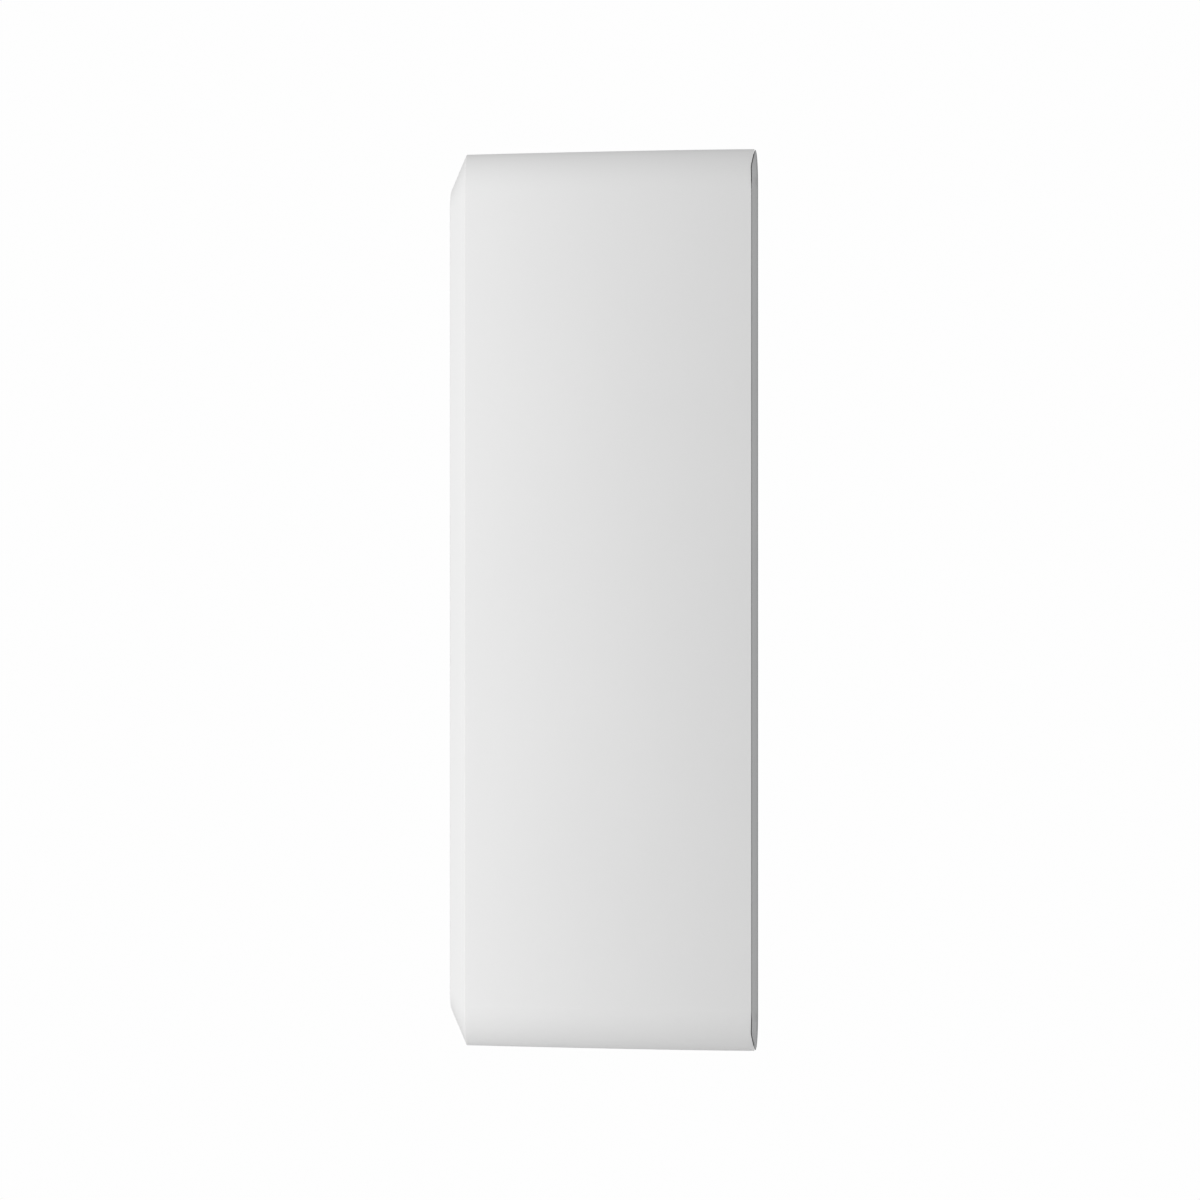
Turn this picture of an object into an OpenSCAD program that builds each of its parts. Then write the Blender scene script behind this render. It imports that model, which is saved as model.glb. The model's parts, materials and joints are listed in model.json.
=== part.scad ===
// Battery video doorbell with its wall plate, in millimetres.
// Origin: centre of the wall face. +Z is up, the front looks along -Y, X is the width.
// A depth named "d" is always counted from the wall towards the front, so d = -y.

/* [Body] */
// Overall height, at the wall
body_h = 117.2; // [114:0.2:150]
// Overall width, at the wall
body_w = 60; // [57:0.5:80]
// Depth from the wall to the front face
body_d = 39.7; // [39.7:0.1:60]
// How much each side leans in between the wall and the bevel
draft = 0.62; // [0.3:0.01:1]
// Width of the bevel round the front face
bevel_in = 4.6; // [3:0.1:5]
// Depth of the bevel round the front face
bevel_d = 2.5; // [1.5:0.1:3]
// Corner radius of the sides
corner_r = 6.1; // [5.5:0.1:8]
// Corner radius of the flat front face
face_corner_r = 3; // [2:0.1:5]
// Side wall thickness at the bevel
wall_t = 2.3; // [2:0.1:3]
// Front wall thickness
front_t = 3; // [2.6:0.1:3.4]
// Gap along the long sides between the housing and the wall
reveal = 0.9; // [0.7:0.05:1.2]
// Height over which the housing comes back to the wall at each end
flare_h = 3; // [2.5:0.1:4]

/* [Wall plate] */
// Thickness of the wall plate
plate_t = 3; // [2.6:0.1:4]
// Free play between the wall plate and the housing, each side
plate_play = 0.3; // [0.2:0.05:0.5]
// Distance between the two wall screws
screw_spacing = 80; // [70:1:88]
// Height of the point midway between the wall screws
screw_mid_z = -6; // [-8:0.5:-4]
// Diameter of the wall screw holes
screw_hole_d = 4.2; // [3.6:0.1:5]
// Width of the cable window
cable_w = 26; // [20:0.5:28]
// Height of the cable window
cable_h = 13; // [11:0.5:14]
// Length of the bow-shaped catch springs
spring_l = 24; // [20:1:28]
// Width of the catch springs
spring_w = 1.9; // [1.6:0.1:2]

/* [Camera] */
// Width of the camera window
window_w = 34; // [33:0.5:36]
// Height of the camera window
window_h = 44; // [42:0.5:46]
// Thickness of the camera window
window_t = 1.5; // [1.2:0.1:1.8]
// Distance from the window to the top of the front face
window_gap = 3.4; // [2.5:0.1:5]
// Width of the ledge that the window sits on
window_ledge = 2; // [1.6:0.1:2.4]
// Diameter of the lens barrel's head
barrel_d = 13; // [12:0.2:13.4]
// Number of infrared lamps
lamp_n = 6; // [4:1:8]

/* [Button] */
// Diameter of the bell button
button_d = 20; // [17:0.5:21]
// Height of the bell button's centre above the lower end of the front face
button_up = 26.4; // [26:0.2:28]
// Travel of the bell button
button_travel = 0.7; // [0.4:0.1:0.8]
// Width of the light ring's face
ring_face = 2.2; // [1.6:0.1:2.6]
// Number of lamps under the light ring
ring_lamp_n = 8; // [4:1:12]

/* [Motion sensor] */
// Diameter of the motion sensor's lens
pir_d = 12.8; // [11:0.2:13.4]

/* [Speaker] */
// Width of the loudspeaker
speaker_w = 30; // [24:0.5:32]
// Height of the loudspeaker
speaker_h = 11.4; // [10:0.2:11.6]
// Height of the loudspeaker's centre above the lower end of the front face
speaker_up = 5.2; // [5:0.1:5.6]
// Number of sound slots
slot_n = 3; // [2:1:4]
// Height of each sound slot
slot_h = 1.1; // [0.8:0.1:1.4]

/* [Battery] */
// Diameter of each cell
cell_d = 18.2; // [16:0.1:18.4]
// Length of each cell
cell_l = 65; // [50:0.5:66]

/* [Rear cover] */
// Thickness of the rear cover
cover_t = 2; // [1.6:0.1:2.4]
// Space between the wall plate and the rear cover
cover_gap = 1.6; // [1.4:0.1:2]
// Diameter of the corner screw bosses
boss_d = 7.2; // [6.6:0.1:8]
// Depth of the recess for the bell wires
wire_recess = 5; // [4:0.1:5.4]

/* [Charging port] */
// Width of the port's door
door_w = 16.8; // [14:0.2:18]
// Length of the port's door, from hinge to free edge
door_l = 9.6; // [9:0.1:10]
// Diameter of the reset button
reset_d = 4; // [3:0.1:4.4]
// Travel of the reset button
reset_travel = 0.5; // [0.3:0.1:0.5]

/* [Boards] */
// Thickness of the main board and the charging board
pcb_t = 1; // [0.8:0.1:1.2]
// Space in front of the main board
board_space = 8.3; // [8.2:0.1:9]

/* [Hidden] */
$fn = 64;

// Fits and small gaps
hair = 0.1;          // gap round pieces that are dropped into a recess
rim_gap = 0.15;      // gap between the housing's rim and the wall or the wall plate
seal_t = 0.3;        // squeezed thickness of the flat gaskets
run_fit = 0.05;      // radial clearance of what turns or slides in a hole
over = 1;            // how far a cut runs past the surface it opens
skin = 0.05;         // thickness of the slices that the outer form is drawn through
dome_fn = 720;       // steps round the large circles that shallow domes are cut from

// Housing
half_h = body_h / 2;
edge_d = body_d - bevel_d;
inner_d = body_d - front_t;
face_h = body_h - 2 * (draft + bevel_in);
mid_draft = 0.39 * draft;
cavity_w = body_w - 2 * (draft + wall_t);
cavity_h = body_h - 2 * (draft + wall_t);
cavity_r = corner_r - wall_t;
ledge_w = 0.6;
pocket_w = cavity_w + 2 * ledge_w;
pocket_h = cavity_h + 2 * ledge_w;
pocket_r = cavity_r + ledge_w;
cover_d = plate_t + cover_gap;
cover_in_d = cover_d + cover_t;
cover_seal_t = 0.4;
ledge_d = cover_in_d + cover_seal_t;
seal_lip = 0.8;
boss_x = cavity_w / 2 - boss_d / 2 + hair;
boss_z = cavity_h / 2 - boss_d / 2 + hair;
cover_head_r = 2;
cover_head_t = 1.2;
cover_screw_l = 8;
pilot_r = 1.1;
pilot_l = 10;

// Camera window and what is behind it
window_front_d = body_d - hair;
window_back_d = window_front_d - window_t;
window_floor_d = window_back_d - seal_t;
window_z = face_h / 2 - window_gap - window_h / 2;
camera_z = face_h / 2 - window_gap - window_w / 2;
board_front_d = inner_d - board_space;
board_back_d = board_front_d - pcb_t;
connector_t = 1;
camera_pcb_t = 0.8;
camera_pcb = 26;
camera_board_d = board_front_d + connector_t;
sensor_d = camera_board_d + camera_pcb_t;
sensor = 8;
sensor_t = 0.8;
filter_t = 0.25;
holder = 14;
holder_pocket = 1.2;
barrel_d0 = sensor_d + holder_pocket + 0.2;
barrel_d1 = window_back_d - 0.4;
thread_r = 5;
head_l = 2.9;
lens_seat = 2.1;
bracket_t = 1.2;
bracket_screw_l = 3.8;
bracket_d = inner_d - 3.5;
bracket_front_d = bracket_d + bracket_t;
bracket_w = 46;
bracket_h = 40;
bracket_x = 20;
bracket_up = 15;
baffle_t = 0.8;
baffle_r = barrel_d / 2 + 0.45 + baffle_t;
ir_pcb_t = 0.8;
ir_board_margin = 1;
lamp = 2.8;
lamp_t = 1.3;
lamp_circle_r = 11.6;
light_sensor_down = 17;

// Button, light ring and switch
button_r = button_d / 2;
button_front_d = body_d - 0.2;
button_dish = 0.5;
button_gap = 0.3;
ring_in_r = button_r + button_gap;
ring_out_r = ring_in_r + ring_face;
ring_flange_r = ring_out_r + 1.5;
ring_flange_t = 1.2;
ring_lip_d = inner_d - 1.85;
ring_skirt_t = 0.8;
ring_foot_d = board_front_d + 1.6;
ring_z = -face_h / 2 + button_up;
button_flange_r = ring_out_r - ring_skirt_t - 0.4;
button_flange_t = 1.5;
button_back_d = ring_lip_d - run_fit - button_flange_t;
button_wall = 1.4;
stem_r = 2.4;
stem_l = 0.4;
switch_w = 6;
switch_t = 3.4;
plunger_r = 1.7;
plunger_in = 0.9;
dome_t = 0.8;

// Motion sensor
pir_r = pir_d / 2;
pir_z = (window_z - window_h / 2 + ring_z + ring_out_r) / 2;
pir_flange = 1.2;
pir_flange_t = 1;
pir_wall = 0.8;
can_r = 4.6;
can_h = 4.2;

// Main board and what is on it
board_w = cavity_w - 6.16;
board_top = boss_z - boss_d / 2 - 0.5;
board_bottom = ring_z - ring_out_r - 1;
board_screw_x = board_w / 2 - 3;
board_screw_zs = [board_bottom + 4, pir_z + 7];
post_r = 2.2;
screw_r = 0.85;
screw_head_r = 1.8;
screw_head_t = 1.3;
board_screw_l = 5;
screw_play = 0.3;
mic_x = 14;
mic_hole_r = 0.6;
chip_x = -12.5;

// Loudspeaker
speaker_z = -face_h / 2 + speaker_up;
speaker_front_d = inner_d - seal_t;
speaker_t = 4.3;
speaker_r = 2;
speaker_rim = 2;
speaker_end_rim = 1.5;
slot_w = 18;
slot_pitch = 2 * slot_h;

// Battery
sleeve_t = 0.3;
cell_r = cell_d / 2;
cell_x = cell_r + hair;
cell_y = cover_in_d + 0.5 + sleeve_t + cell_r;
cell_top = cavity_h / 2 - 9.5;
cell_bottom = cell_top - cell_l;
cradle_d = cell_y + cell_r + sleeve_t + 0.2;
cradle_t = board_back_d - 0.3 - cradle_d;
cradle_end = 1.2;

// Bell wire terminals
wire_z = -30.5;
wire_recess_w = 30;
wire_recess_h = cable_h;
wire_wall = 1.6;
wire_floor_d = cover_d + wire_recess;
terminal_x = 7.5;
terminal_back_d = wire_floor_d + wire_wall;
terminal_t = 5;
terminal_r = 1.45;
terminal_head_r = 2.9;
terminal_head_t = 1.6;
washer = 7;
washer_t = 0.6;

// Charging port, door and reset button
floor_z = -half_h + 2.2;
inner_floor_z = -cavity_h / 2;
port_pad_t = 1;
port_w = 9;
port_t = 3.2;
port_l = 7.3;
port_r = 1.5;
usb_front_d = cover_in_d + 6.9;
usb_back_d = usb_front_d - pcb_t;
port_d = usb_front_d + port_t / 2;
port_z = floor_z + 0.2;
usb_board_w = 38.8;
usb_board_bottom = inner_floor_z + port_pad_t + 0.5;
usb_board_top = usb_board_bottom + 13;
usb_screw_x = 10.5;
usb_screw_z = usb_board_top - 2.5;
hinge_d = port_d - 5.1;
door_play = 0.3;
channel_play = 0.25;
nail_notch_w = 6;
nail_notch_l = 1.9;
hinge_z = -half_h + 1.3;
knuckle_r = 0.9;
trunnion_r = 0.55;
trunnion_l = 1.2;
door_t = 1.2;
door_out_z = -half_h + 0.4;
door_seal_t = 0.5;
reset_x = 16.5;
reset_switch_w = 4.6;
reset_switch_l = 3;
reset_nub_l = 1.4;
reset_r = reset_d / 2;
reset_flange = 0.8;
reset_flange_t = 0.7;
reset_out_z = -half_h + 0.6;
reset_top_z = inner_floor_z + hair + reset_flange_t;

// Wall plate and springs
core_w = pocket_w - 2 * plate_play;
core_h = pocket_h - 2 * plate_play;
spring_t = 0.4;
spring_bow = 2.4;
spring_bite = 0.6;
spring_r = (pow(spring_l / 2, 2) + pow(spring_bow, 2)) / (2 * spring_bow);
spring_top = pocket_h / 2 + spring_bite;
spring_d = reveal + 0.05;
catch_slot_w = 13.6;
catch_slot_h = 2.5;
spring_pocket_h = 4.2;
wall_head_t = 1.4;

// A 2D outline in X and Z, carried from depth d0 to depth d1
module slab(d0, d1) {
    translate([0, -d0, 0]) rotate([90, 0, 0]) linear_extrude(d1 - d0) children();
}

// A round bar along the depth
module bar(x, z, r, d0, d1) {
    slab(d0, d1) translate([x, z]) circle(r);
}

// A box given by its middle in X and Z, its size, and its two depths
module block(x, z, w, h, d0, d1) {
    slab(d0, d1) translate([x - w / 2, z - h / 2]) square([w, h]);
}

// A profile of radius and depth, turned round an axis along the depth
module turned(x, z) {
    translate([x, 0, z]) rotate([90, 0, 0]) rotate_extrude() children();
}

// A 2D outline in Y and Z, carried from x0 to x1
module across(x0, x1) {
    translate([x0, 0, 0]) rotate([90, 0, 90]) linear_extrude(x1 - x0) children();
}

// A round bar along Z, standing at x and depth d
module upright(x, d, r, z0, z1) {
    translate([x, -d, z0]) cylinder(r = r, h = z1 - z0);
}

// A rectangle with round corners, centred
module rounded(w, h, r) {
    square([w - 2 * r, h], center = true);
    square([w, h - 2 * r], center = true);
    for (sx = [-1, 1], sz = [-1, 1])
        translate([sx * (w / 2 - r), sz * (h / 2 - r)]) circle(r);
}

// An upright or lying shape with half-round ends, centred
module pill(w, h) {
    r = min(w, h) / 2;
    square([w > h ? w - 2 * r : w, w > h ? h : h - 2 * r], center = true);
    for (s = [-1, 1])
        translate([w > h ? s * (w / 2 - r) : 0, w > h ? 0 : s * (h / 2 - r)]) circle(r);
}

// A lens that is flat behind and domed in front: radius, edge thickness and height of the dome
module lens(z, r, edge, crown, d0) {
    ball_r = (r * r + crown * crown) / (2 * crown);
    turned(0, z) {
        translate([0, d0]) square([r, edge]);
        intersection() {
            translate([0, d0 + edge + crown - ball_r]) circle(ball_r, $fn = dome_fn);
            translate([0, d0 + edge - skin]) square([r, crown + 2 * skin]);
        }
    }
}

// A pan-head screw along the depth: its head is nearer the wall, its shank points to the front
module screw(x, z, head_r, head_t, shank_r, shank_l, d0) {
    difference() {
        union() {
            bar(x, z, head_r, d0, d0 + head_t);
            bar(x, z, shank_r, d0 + head_t, d0 + head_t + shank_l);
        }
        block(x, z, 0.5 * head_r, 1.5 * head_r, d0 - over, d0 + 0.5);
        block(x, z, 1.5 * head_r, 0.5 * head_r, d0 - over, d0 + 0.5);
    }
}

// A wire of round section through a list of points
module wire(points, r) {
    for (i = [1:len(points) - 1]) {
        step = points[i] - points[i - 1];
        length = norm(step);
        translate(points[i - 1])
            rotate([0, acos(step[2] / length), atan2(step[1], step[0])])
                cylinder(r = r, h = length, $fn = 24);
    }
    for (i = [1:len(points) - 2])
        translate(points[i]) sphere(r, $fn = 24);
}

// Slice of the outer form at a depth, drawn in by inset
module slice(d, inset, r) {
    slab(d, d + skin) rounded(body_w - 2 * inset, body_h - 2 * inset, r, $fn = 32);
}

// The whole outer form: slightly bowed drafted sides and the bevelled front
module outer_form() {
    hull() {
        slice(rim_gap, 0, corner_r);
        slice(edge_d / 2, mid_draft, corner_r);
        slice(edge_d - skin, draft, corner_r);
        slice(body_d - skin, draft + bevel_in, face_corner_r);
    }
}

// Region at the wall that the rim stays clear of: its depth along the sides and at both ends
module rim_region(depth, end_d) {
    across(-body_w, body_w) polygon([
        [over, -half_h - over], [-end_d, -half_h], [-depth, -half_h + flare_h],
        [-depth, half_h - flare_h], [-end_d, half_h], [over, half_h + over]
    ]);
}

// Places of the four corner bosses
module at_bosses() {
    for (sx = [-1, 1], sz = [-1, 1])
        translate([sx * boss_x, 0, sz * boss_z]) children();
}

module at_bracket_posts() {
    for (sx = [-1, 1], sz = [-1, 1])
        translate([sx * bracket_x, 0, window_z + sz * bracket_up]) children();
}

module at_board_posts() {
    for (sx = [-1, 1], z = board_screw_zs)
        translate([sx * board_screw_x, 0, z]) children();
}

// Everything cut out of the front wall
module front_openings() {
    slab(window_floor_d, body_d + over)
        translate([0, window_z]) pill(window_w + 2 * hair, window_h + 2 * hair);
    slab(inner_d - over, body_d)
        translate([0, window_z]) pill(window_w - 2 * window_ledge, window_h - 2 * window_ledge);
    bar(0, pir_z, pir_r + hair, inner_d - over, body_d + over);
    bar(0, ring_z, ring_out_r + hair, inner_d - over, body_d + over);
    bar(mic_x, pir_z, mic_hole_r, inner_d - over, body_d + over);
    slab(inner_d - over, body_d + over)
        for (i = [0:slot_n - 1])
            translate([0, speaker_z + (i - (slot_n - 1) / 2) * slot_pitch]) pill(slot_w, slot_h);
}

// Everything cut out of the lower end wall
module lower_openings() {
    // pocket for the port's door, its hinge channel and trunnion holes
    translate([-door_w / 2 - 2 * hair, -hinge_d - door_l - door_play, -half_h - over])
        cube([door_w + 4 * hair, door_l + door_play + 1.1, floor_z + half_h + over]);
    translate([0, -hinge_d, hinge_z]) rotate([0, 90, 0]) {
        cylinder(r = knuckle_r + channel_play, h = door_w + 4 * hair, center = true);
        cylinder(r = trunnion_r + run_fit, h = door_w + 2 * trunnion_l + 4 * hair, center = true);
    }
    // nail notch at the door's free edge
    translate([-nail_notch_w / 2, -hinge_d - door_l - nail_notch_l, -half_h - over])
        cube([nail_notch_w, nail_notch_l + hair, over + 1]);
    // mouth of the port
    translate([0, -port_d, inner_floor_z - 3]) linear_extrude(3 + port_pad_t + over)
        rounded(port_w + 2 * hair, port_t + 2 * hair, port_r + hair);
    upright(reset_x, port_d, reset_r + run_fit, -half_h - over, inner_floor_z + over);
    // pin hole over the lower catch spring
    upright(0, spring_d + spring_w / 2, 1, -half_h - over, -pocket_h / 2 + over);
}

module front_housing() {
    color([0.93, 0.93, 0.93]) difference() {
        union() {
            difference() {
                outer_form();
                slab(cover_in_d, inner_d) rounded(cavity_w, cavity_h, cavity_r);
                slab(-over, ledge_d) rounded(pocket_w, pocket_h, pocket_r);
            }
            at_bosses() bar(0, 0, boss_d / 2, ledge_d, inner_d);
            at_bracket_posts() bar(0, 0, post_r, bracket_front_d, inner_d);
            at_board_posts() bar(0, 0, post_r, board_front_d, inner_d);
            translate([-door_w / 2 - 2, -port_d - 7, inner_floor_z])
                cube([door_w + 4, 14, port_pad_t]);
        }
        rim_region(reveal, rim_gap);
        at_bosses() bar(0, 0, pilot_r, ledge_d - over, ledge_d + pilot_l);
        at_bracket_posts() bar(0, 0, screw_r + run_fit, bracket_front_d - over, inner_d + 0.8);
        at_board_posts() bar(0, 0, screw_r + run_fit, board_front_d - over, board_front_d + 6);
        front_openings();
        lower_openings();
        // slots for the bow of the catch springs
        for (s = [-1, 1])
            block(0, s * (spring_top - 1), catch_slot_w, catch_slot_h, spring_d - 0.15,
                spring_d + spring_w + 0.2);
    }
}

module camera_window() {
    color([0.03, 0.03, 0.035]) slab(window_back_d, window_front_d)
        translate([0, window_z]) pill(window_w, window_h);
}

module window_gasket() {
    color([0.1, 0.1, 0.1]) slab(window_floor_d, window_back_d)
        translate([0, window_z]) difference() {
            pill(window_w - 2 * hair, window_h - 2 * hair);
            pill(window_w - 2 * window_ledge + 0.6, window_h - 2 * window_ledge + 0.6);
        }
}

module lens_barrel() {
    seat_d = barrel_d1 - lens_seat;
    seat_r = barrel_d / 2 - 0.9;
    color([0.06, 0.06, 0.06]) difference() {
        union() {
            bar(0, camera_z, thread_r, barrel_d0, barrel_d1 - head_l);
            bar(0, camera_z, barrel_d / 2, barrel_d1 - head_l, barrel_d1);
        }
        bar(0, camera_z, thread_r - 1.4, barrel_d0 - over, seat_d + over);
        bar(0, camera_z, seat_r, seat_d, barrel_d1 + over);
    }
}

module front_lens() {
    color([0.2, 0.25, 0.4]) lens(camera_z, barrel_d / 2 - 1, 0.8, 1.1, barrel_d1 - lens_seat);
}

module inner_lenses() {
    color([0.5, 0.55, 0.6]) for (d = [barrel_d0 + 0.5, barrel_d0 + 2.2])
        lens(camera_z, thread_r - 1.5, 0.5, 0.5, d);
}

module lens_holder() {
    color([0.08, 0.08, 0.08]) difference() {
        union() {
            block(0, camera_z, holder, holder, sensor_d, sensor_d + 1.6);
            bar(0, camera_z, barrel_d / 2 + 0.1, sensor_d, barrel_d1 - head_l - 0.2);
        }
        block(0, camera_z, sensor + 1, sensor + 1, sensor_d - over, sensor_d + holder_pocket);
        bar(0, camera_z, thread_r + run_fit, sensor_d, barrel_d1);
    }
}

module ir_filter() {
    color([0.5, 0.2, 0.25]) block(0, camera_z, sensor, sensor, sensor_d + sensor_t + hair,
        sensor_d + sensor_t + hair + filter_t);
}

module image_sensor() {
    color([0.15, 0.2, 0.2]) block(0, camera_z, sensor, sensor, sensor_d, sensor_d + sensor_t);
}

module camera_board() {
    color([0.05, 0.3, 0.15]) slab(camera_board_d, sensor_d)
        translate([0, camera_z]) rounded(camera_pcb, camera_pcb, 1.5);
}

module camera_connector() {
    color([0.85, 0.82, 0.75]) block(0, camera_z - 9, 10, 3, board_front_d, camera_board_d);
}

module ir_board() {
    color([0.05, 0.3, 0.15]) slab(bracket_front_d, bracket_front_d + ir_pcb_t)
        difference() {
            translate([0, window_z])
                pill(window_w - 2 * ir_board_margin, window_h - 2 * ir_board_margin);
            translate([0, camera_z]) circle(baffle_r + hair);
        }
}

module ir_leds() {
    color([0.9, 0.85, 0.7]) for (i = [0:lamp_n - 1]) {
        a = 90 + (i + 0.5) * 360 / lamp_n;
        block(lamp_circle_r * cos(a), camera_z + lamp_circle_r * sin(a), lamp, lamp,
            bracket_front_d + ir_pcb_t, bracket_front_d + ir_pcb_t + lamp_t);
    }
}

module light_sensor() {
    color([0.3, 0.3, 0.32]) block(0, camera_z - light_sensor_down, 2, 2,
        bracket_front_d + ir_pcb_t, bracket_front_d + ir_pcb_t + 0.8);
}

module ir_baffle() {
    color([0.04, 0.04, 0.04]) difference() {
        bar(0, camera_z, baffle_r, bracket_d, window_back_d - hair);
        bar(0, camera_z, baffle_r - baffle_t, bracket_d - over, window_back_d);
    }
}

module camera_bracket() {
    color([0.12, 0.12, 0.12]) difference() {
        slab(bracket_d, bracket_front_d)
            translate([0, window_z]) rounded(bracket_w, bracket_h, 3);
        bar(0, camera_z, baffle_r + hair, bracket_d - over, bracket_front_d + over);
        at_bracket_posts() bar(0, 0, screw_r + screw_play, bracket_d - over, bracket_front_d + over);
    }
}

module bracket_screws() {
    color([0.6, 0.6, 0.62]) at_bracket_posts()
        screw(0, 0, screw_head_r, screw_head_t, screw_r, bracket_screw_l,
            bracket_d - screw_head_t);
}

module pir_lens() {
    front = body_d - 0.35;
    crown = 0.25;
    ball_r = (pir_r * pir_r + crown * crown) / (2 * crown);
    color([0.88, 0.88, 0.86]) difference() {
        union() {
            bar(0, pir_z, pir_r + pir_flange, inner_d - pir_flange_t, inner_d);
            bar(0, pir_z, pir_r, inner_d, front);
            turned(0, pir_z) intersection() {
                translate([0, front + crown - ball_r]) circle(ball_r, $fn = dome_fn);
                translate([0, front - skin]) square([pir_r, crown + 2 * skin]);
            }
        }
        bar(0, pir_z, pir_r - pir_wall, inner_d - pir_flange_t - over, front - pir_wall);
    }
}

module pir_sensor() {
    color([0.75, 0.75, 0.77]) difference() {
        union() {
            bar(0, pir_z, can_r, board_front_d, board_front_d + can_h);
            bar(0, pir_z, can_r + 0.4, board_front_d, board_front_d + 0.5);
        }
        block(0, pir_z, 4, 3, board_front_d + can_h - 0.4, board_front_d + can_h + over);
    }
}

module bell_button() {
    dish_r = (button_r * button_r + button_dish * button_dish) / (2 * button_dish);
    roof_d = button_front_d - button_dish - button_wall;
    color([0.93, 0.93, 0.93]) difference() {
        union() {
            bar(0, ring_z, button_r, button_back_d, button_front_d);
            bar(0, ring_z, button_flange_r, button_back_d, button_back_d + button_flange_t);
            bar(0, ring_z, stem_r, button_back_d - stem_l, roof_d);
        }
        turned(0, ring_z) translate([stem_r, button_back_d - over])
            square([button_r - button_wall - stem_r, roof_d - button_back_d + over]);
        translate([0, -button_front_d - dish_r + button_dish, ring_z]) sphere(dish_r, $fn = 256);
    }
}

module light_ring() {
    color([0.8, 0.9, 0.95]) turned(0, ring_z) polygon([
        [ring_in_r, ring_lip_d], [ring_in_r, body_d - hair], [ring_out_r, body_d - hair],
        [ring_out_r, inner_d - seal_t], [ring_flange_r, inner_d - seal_t],
        [ring_flange_r, inner_d - seal_t - ring_flange_t],
        [ring_out_r, inner_d - seal_t - ring_flange_t], [ring_out_r, ring_foot_d],
        [ring_out_r - ring_skirt_t, ring_foot_d], [ring_out_r - ring_skirt_t, ring_lip_d]
    ]);
}

module ring_gasket() {
    color([0.1, 0.1, 0.1]) difference() {
        bar(0, ring_z, ring_flange_r - hair, inner_d - seal_t, inner_d);
        bar(0, ring_z, ring_out_r + 3 * hair, inner_d - seal_t - over, inner_d + over);
    }
}

module button_plunger() {
    color([0.1, 0.1, 0.1]) bar(0, ring_z, plunger_r, board_front_d + switch_t - plunger_in,
        button_back_d - stem_l);
}

module button_switch() {
    color([0.7, 0.7, 0.7]) difference() {
        block(0, ring_z, switch_w, switch_w, board_front_d, board_front_d + switch_t);
        bar(0, ring_z, plunger_r + run_fit,
            board_front_d + switch_t - plunger_in - button_travel - 0.3,
            board_front_d + switch_t + over);
    }
}

module button_dome() {
    top_r = button_r - 0.4;
    color([0.7, 0.7, 0.72]) turned(0, ring_z) polygon([
        [top_r + dome_t, board_front_d], [top_r + dome_t, board_front_d + dome_t],
        [top_r, board_front_d + 2 * dome_t], [top_r, button_back_d],
        [top_r - dome_t, button_back_d], [top_r - dome_t, board_front_d + 1.6 * dome_t],
        [top_r, board_front_d + 0.6 * dome_t], [top_r, board_front_d]
    ]);
}

module ring_leds() {
    r = ring_out_r - ring_skirt_t / 2;
    color([0.95, 0.95, 0.85]) translate([0, 0, ring_z]) for (i = [0:ring_lamp_n - 1])
        rotate([0, (i + 0.5) * 360 / ring_lamp_n, 0])
            block(r, 0, 0.8, 1.6, board_front_d, board_front_d + 0.9);
}

module main_board() {
    color([0.05, 0.3, 0.15]) difference() {
        block(0, (board_top + board_bottom) / 2, board_w, board_top - board_bottom, board_back_d,
            board_front_d);
        at_board_posts() bar(0, 0, screw_r + screw_play, board_back_d - over, board_front_d + over);
    }
}

module board_screws() {
    color([0.6, 0.6, 0.62]) {
        at_board_posts()
            screw(0, 0, screw_head_r, screw_head_t, screw_r, board_screw_l,
                board_back_d - screw_head_t);
        for (s = [-1, 1])
            translate([s * usb_screw_x, -usb_front_d - screw_head_t, usb_screw_z]) mirror([0, 1, 0])
                screw(0, 0, screw_head_r, screw_head_t, screw_r, board_screw_l, 0);
    }
}

module shield_can() {
    color([0.75, 0.75, 0.77]) difference() {
        block(chip_x, pir_z, 11, 17, board_front_d, board_front_d + 2.4);
        block(chip_x, pir_z, 10.4, 16.4, board_front_d - over, board_front_d + 2.1);
    }
}

module processor() {
    color([0.12, 0.12, 0.12])
        block(chip_x, pir_z - 3.6, 8.5, 8.5, board_front_d, board_front_d + 1.1);
}

module memory_chip() {
    color([0.12, 0.12, 0.12])
        block(chip_x, pir_z + 4.6, 8, 5.5, board_front_d, board_front_d + 0.9);
}

module microphone() {
    color([0.8, 0.75, 0.5]) difference() {
        block(mic_x, pir_z, 3.5, 2.8, board_front_d, board_front_d + 1);
        bar(mic_x, pir_z, 0.4, board_front_d + 0.5, board_front_d + 1 + over);
    }
}

module mic_boot() {
    color([0.1, 0.1, 0.1]) difference() {
        bar(mic_x, pir_z, 2, board_front_d + 1, inner_d);
        bar(mic_x, pir_z, mic_hole_r + hair, board_front_d, inner_d + over);
    }
}

module speaker_frame() {
    color([0.15, 0.15, 0.15]) slab(speaker_front_d - speaker_t, speaker_front_d)
        translate([0, speaker_z]) difference() {
            rounded(speaker_w, speaker_h, speaker_r);
            rounded(speaker_w - 2 * speaker_rim, speaker_h - 2 * speaker_end_rim, 1.5);
        }
}

module speaker_cone() {
    color([0.25, 0.25, 0.27]) {
        slab(speaker_front_d - 1.9, speaker_front_d - 1.5) translate([0, speaker_z])
            rounded(speaker_w - 2 * speaker_rim - hair, speaker_h - 2 * speaker_end_rim - hair,
                1.5 - hair / 2);
        lens(speaker_z, 3, 0.2, 0.9, speaker_front_d - 1.6);
    }
}

module speaker_magnet() {
    color([0.55, 0.55, 0.57]) slab(speaker_front_d - speaker_t - 1.2, speaker_front_d - speaker_t + 1.4)
        translate([0, speaker_z])
            rounded(speaker_w - 4 * speaker_rim, speaker_h - 2 * speaker_end_rim - 2 * hair, 1.2);
}

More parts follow.
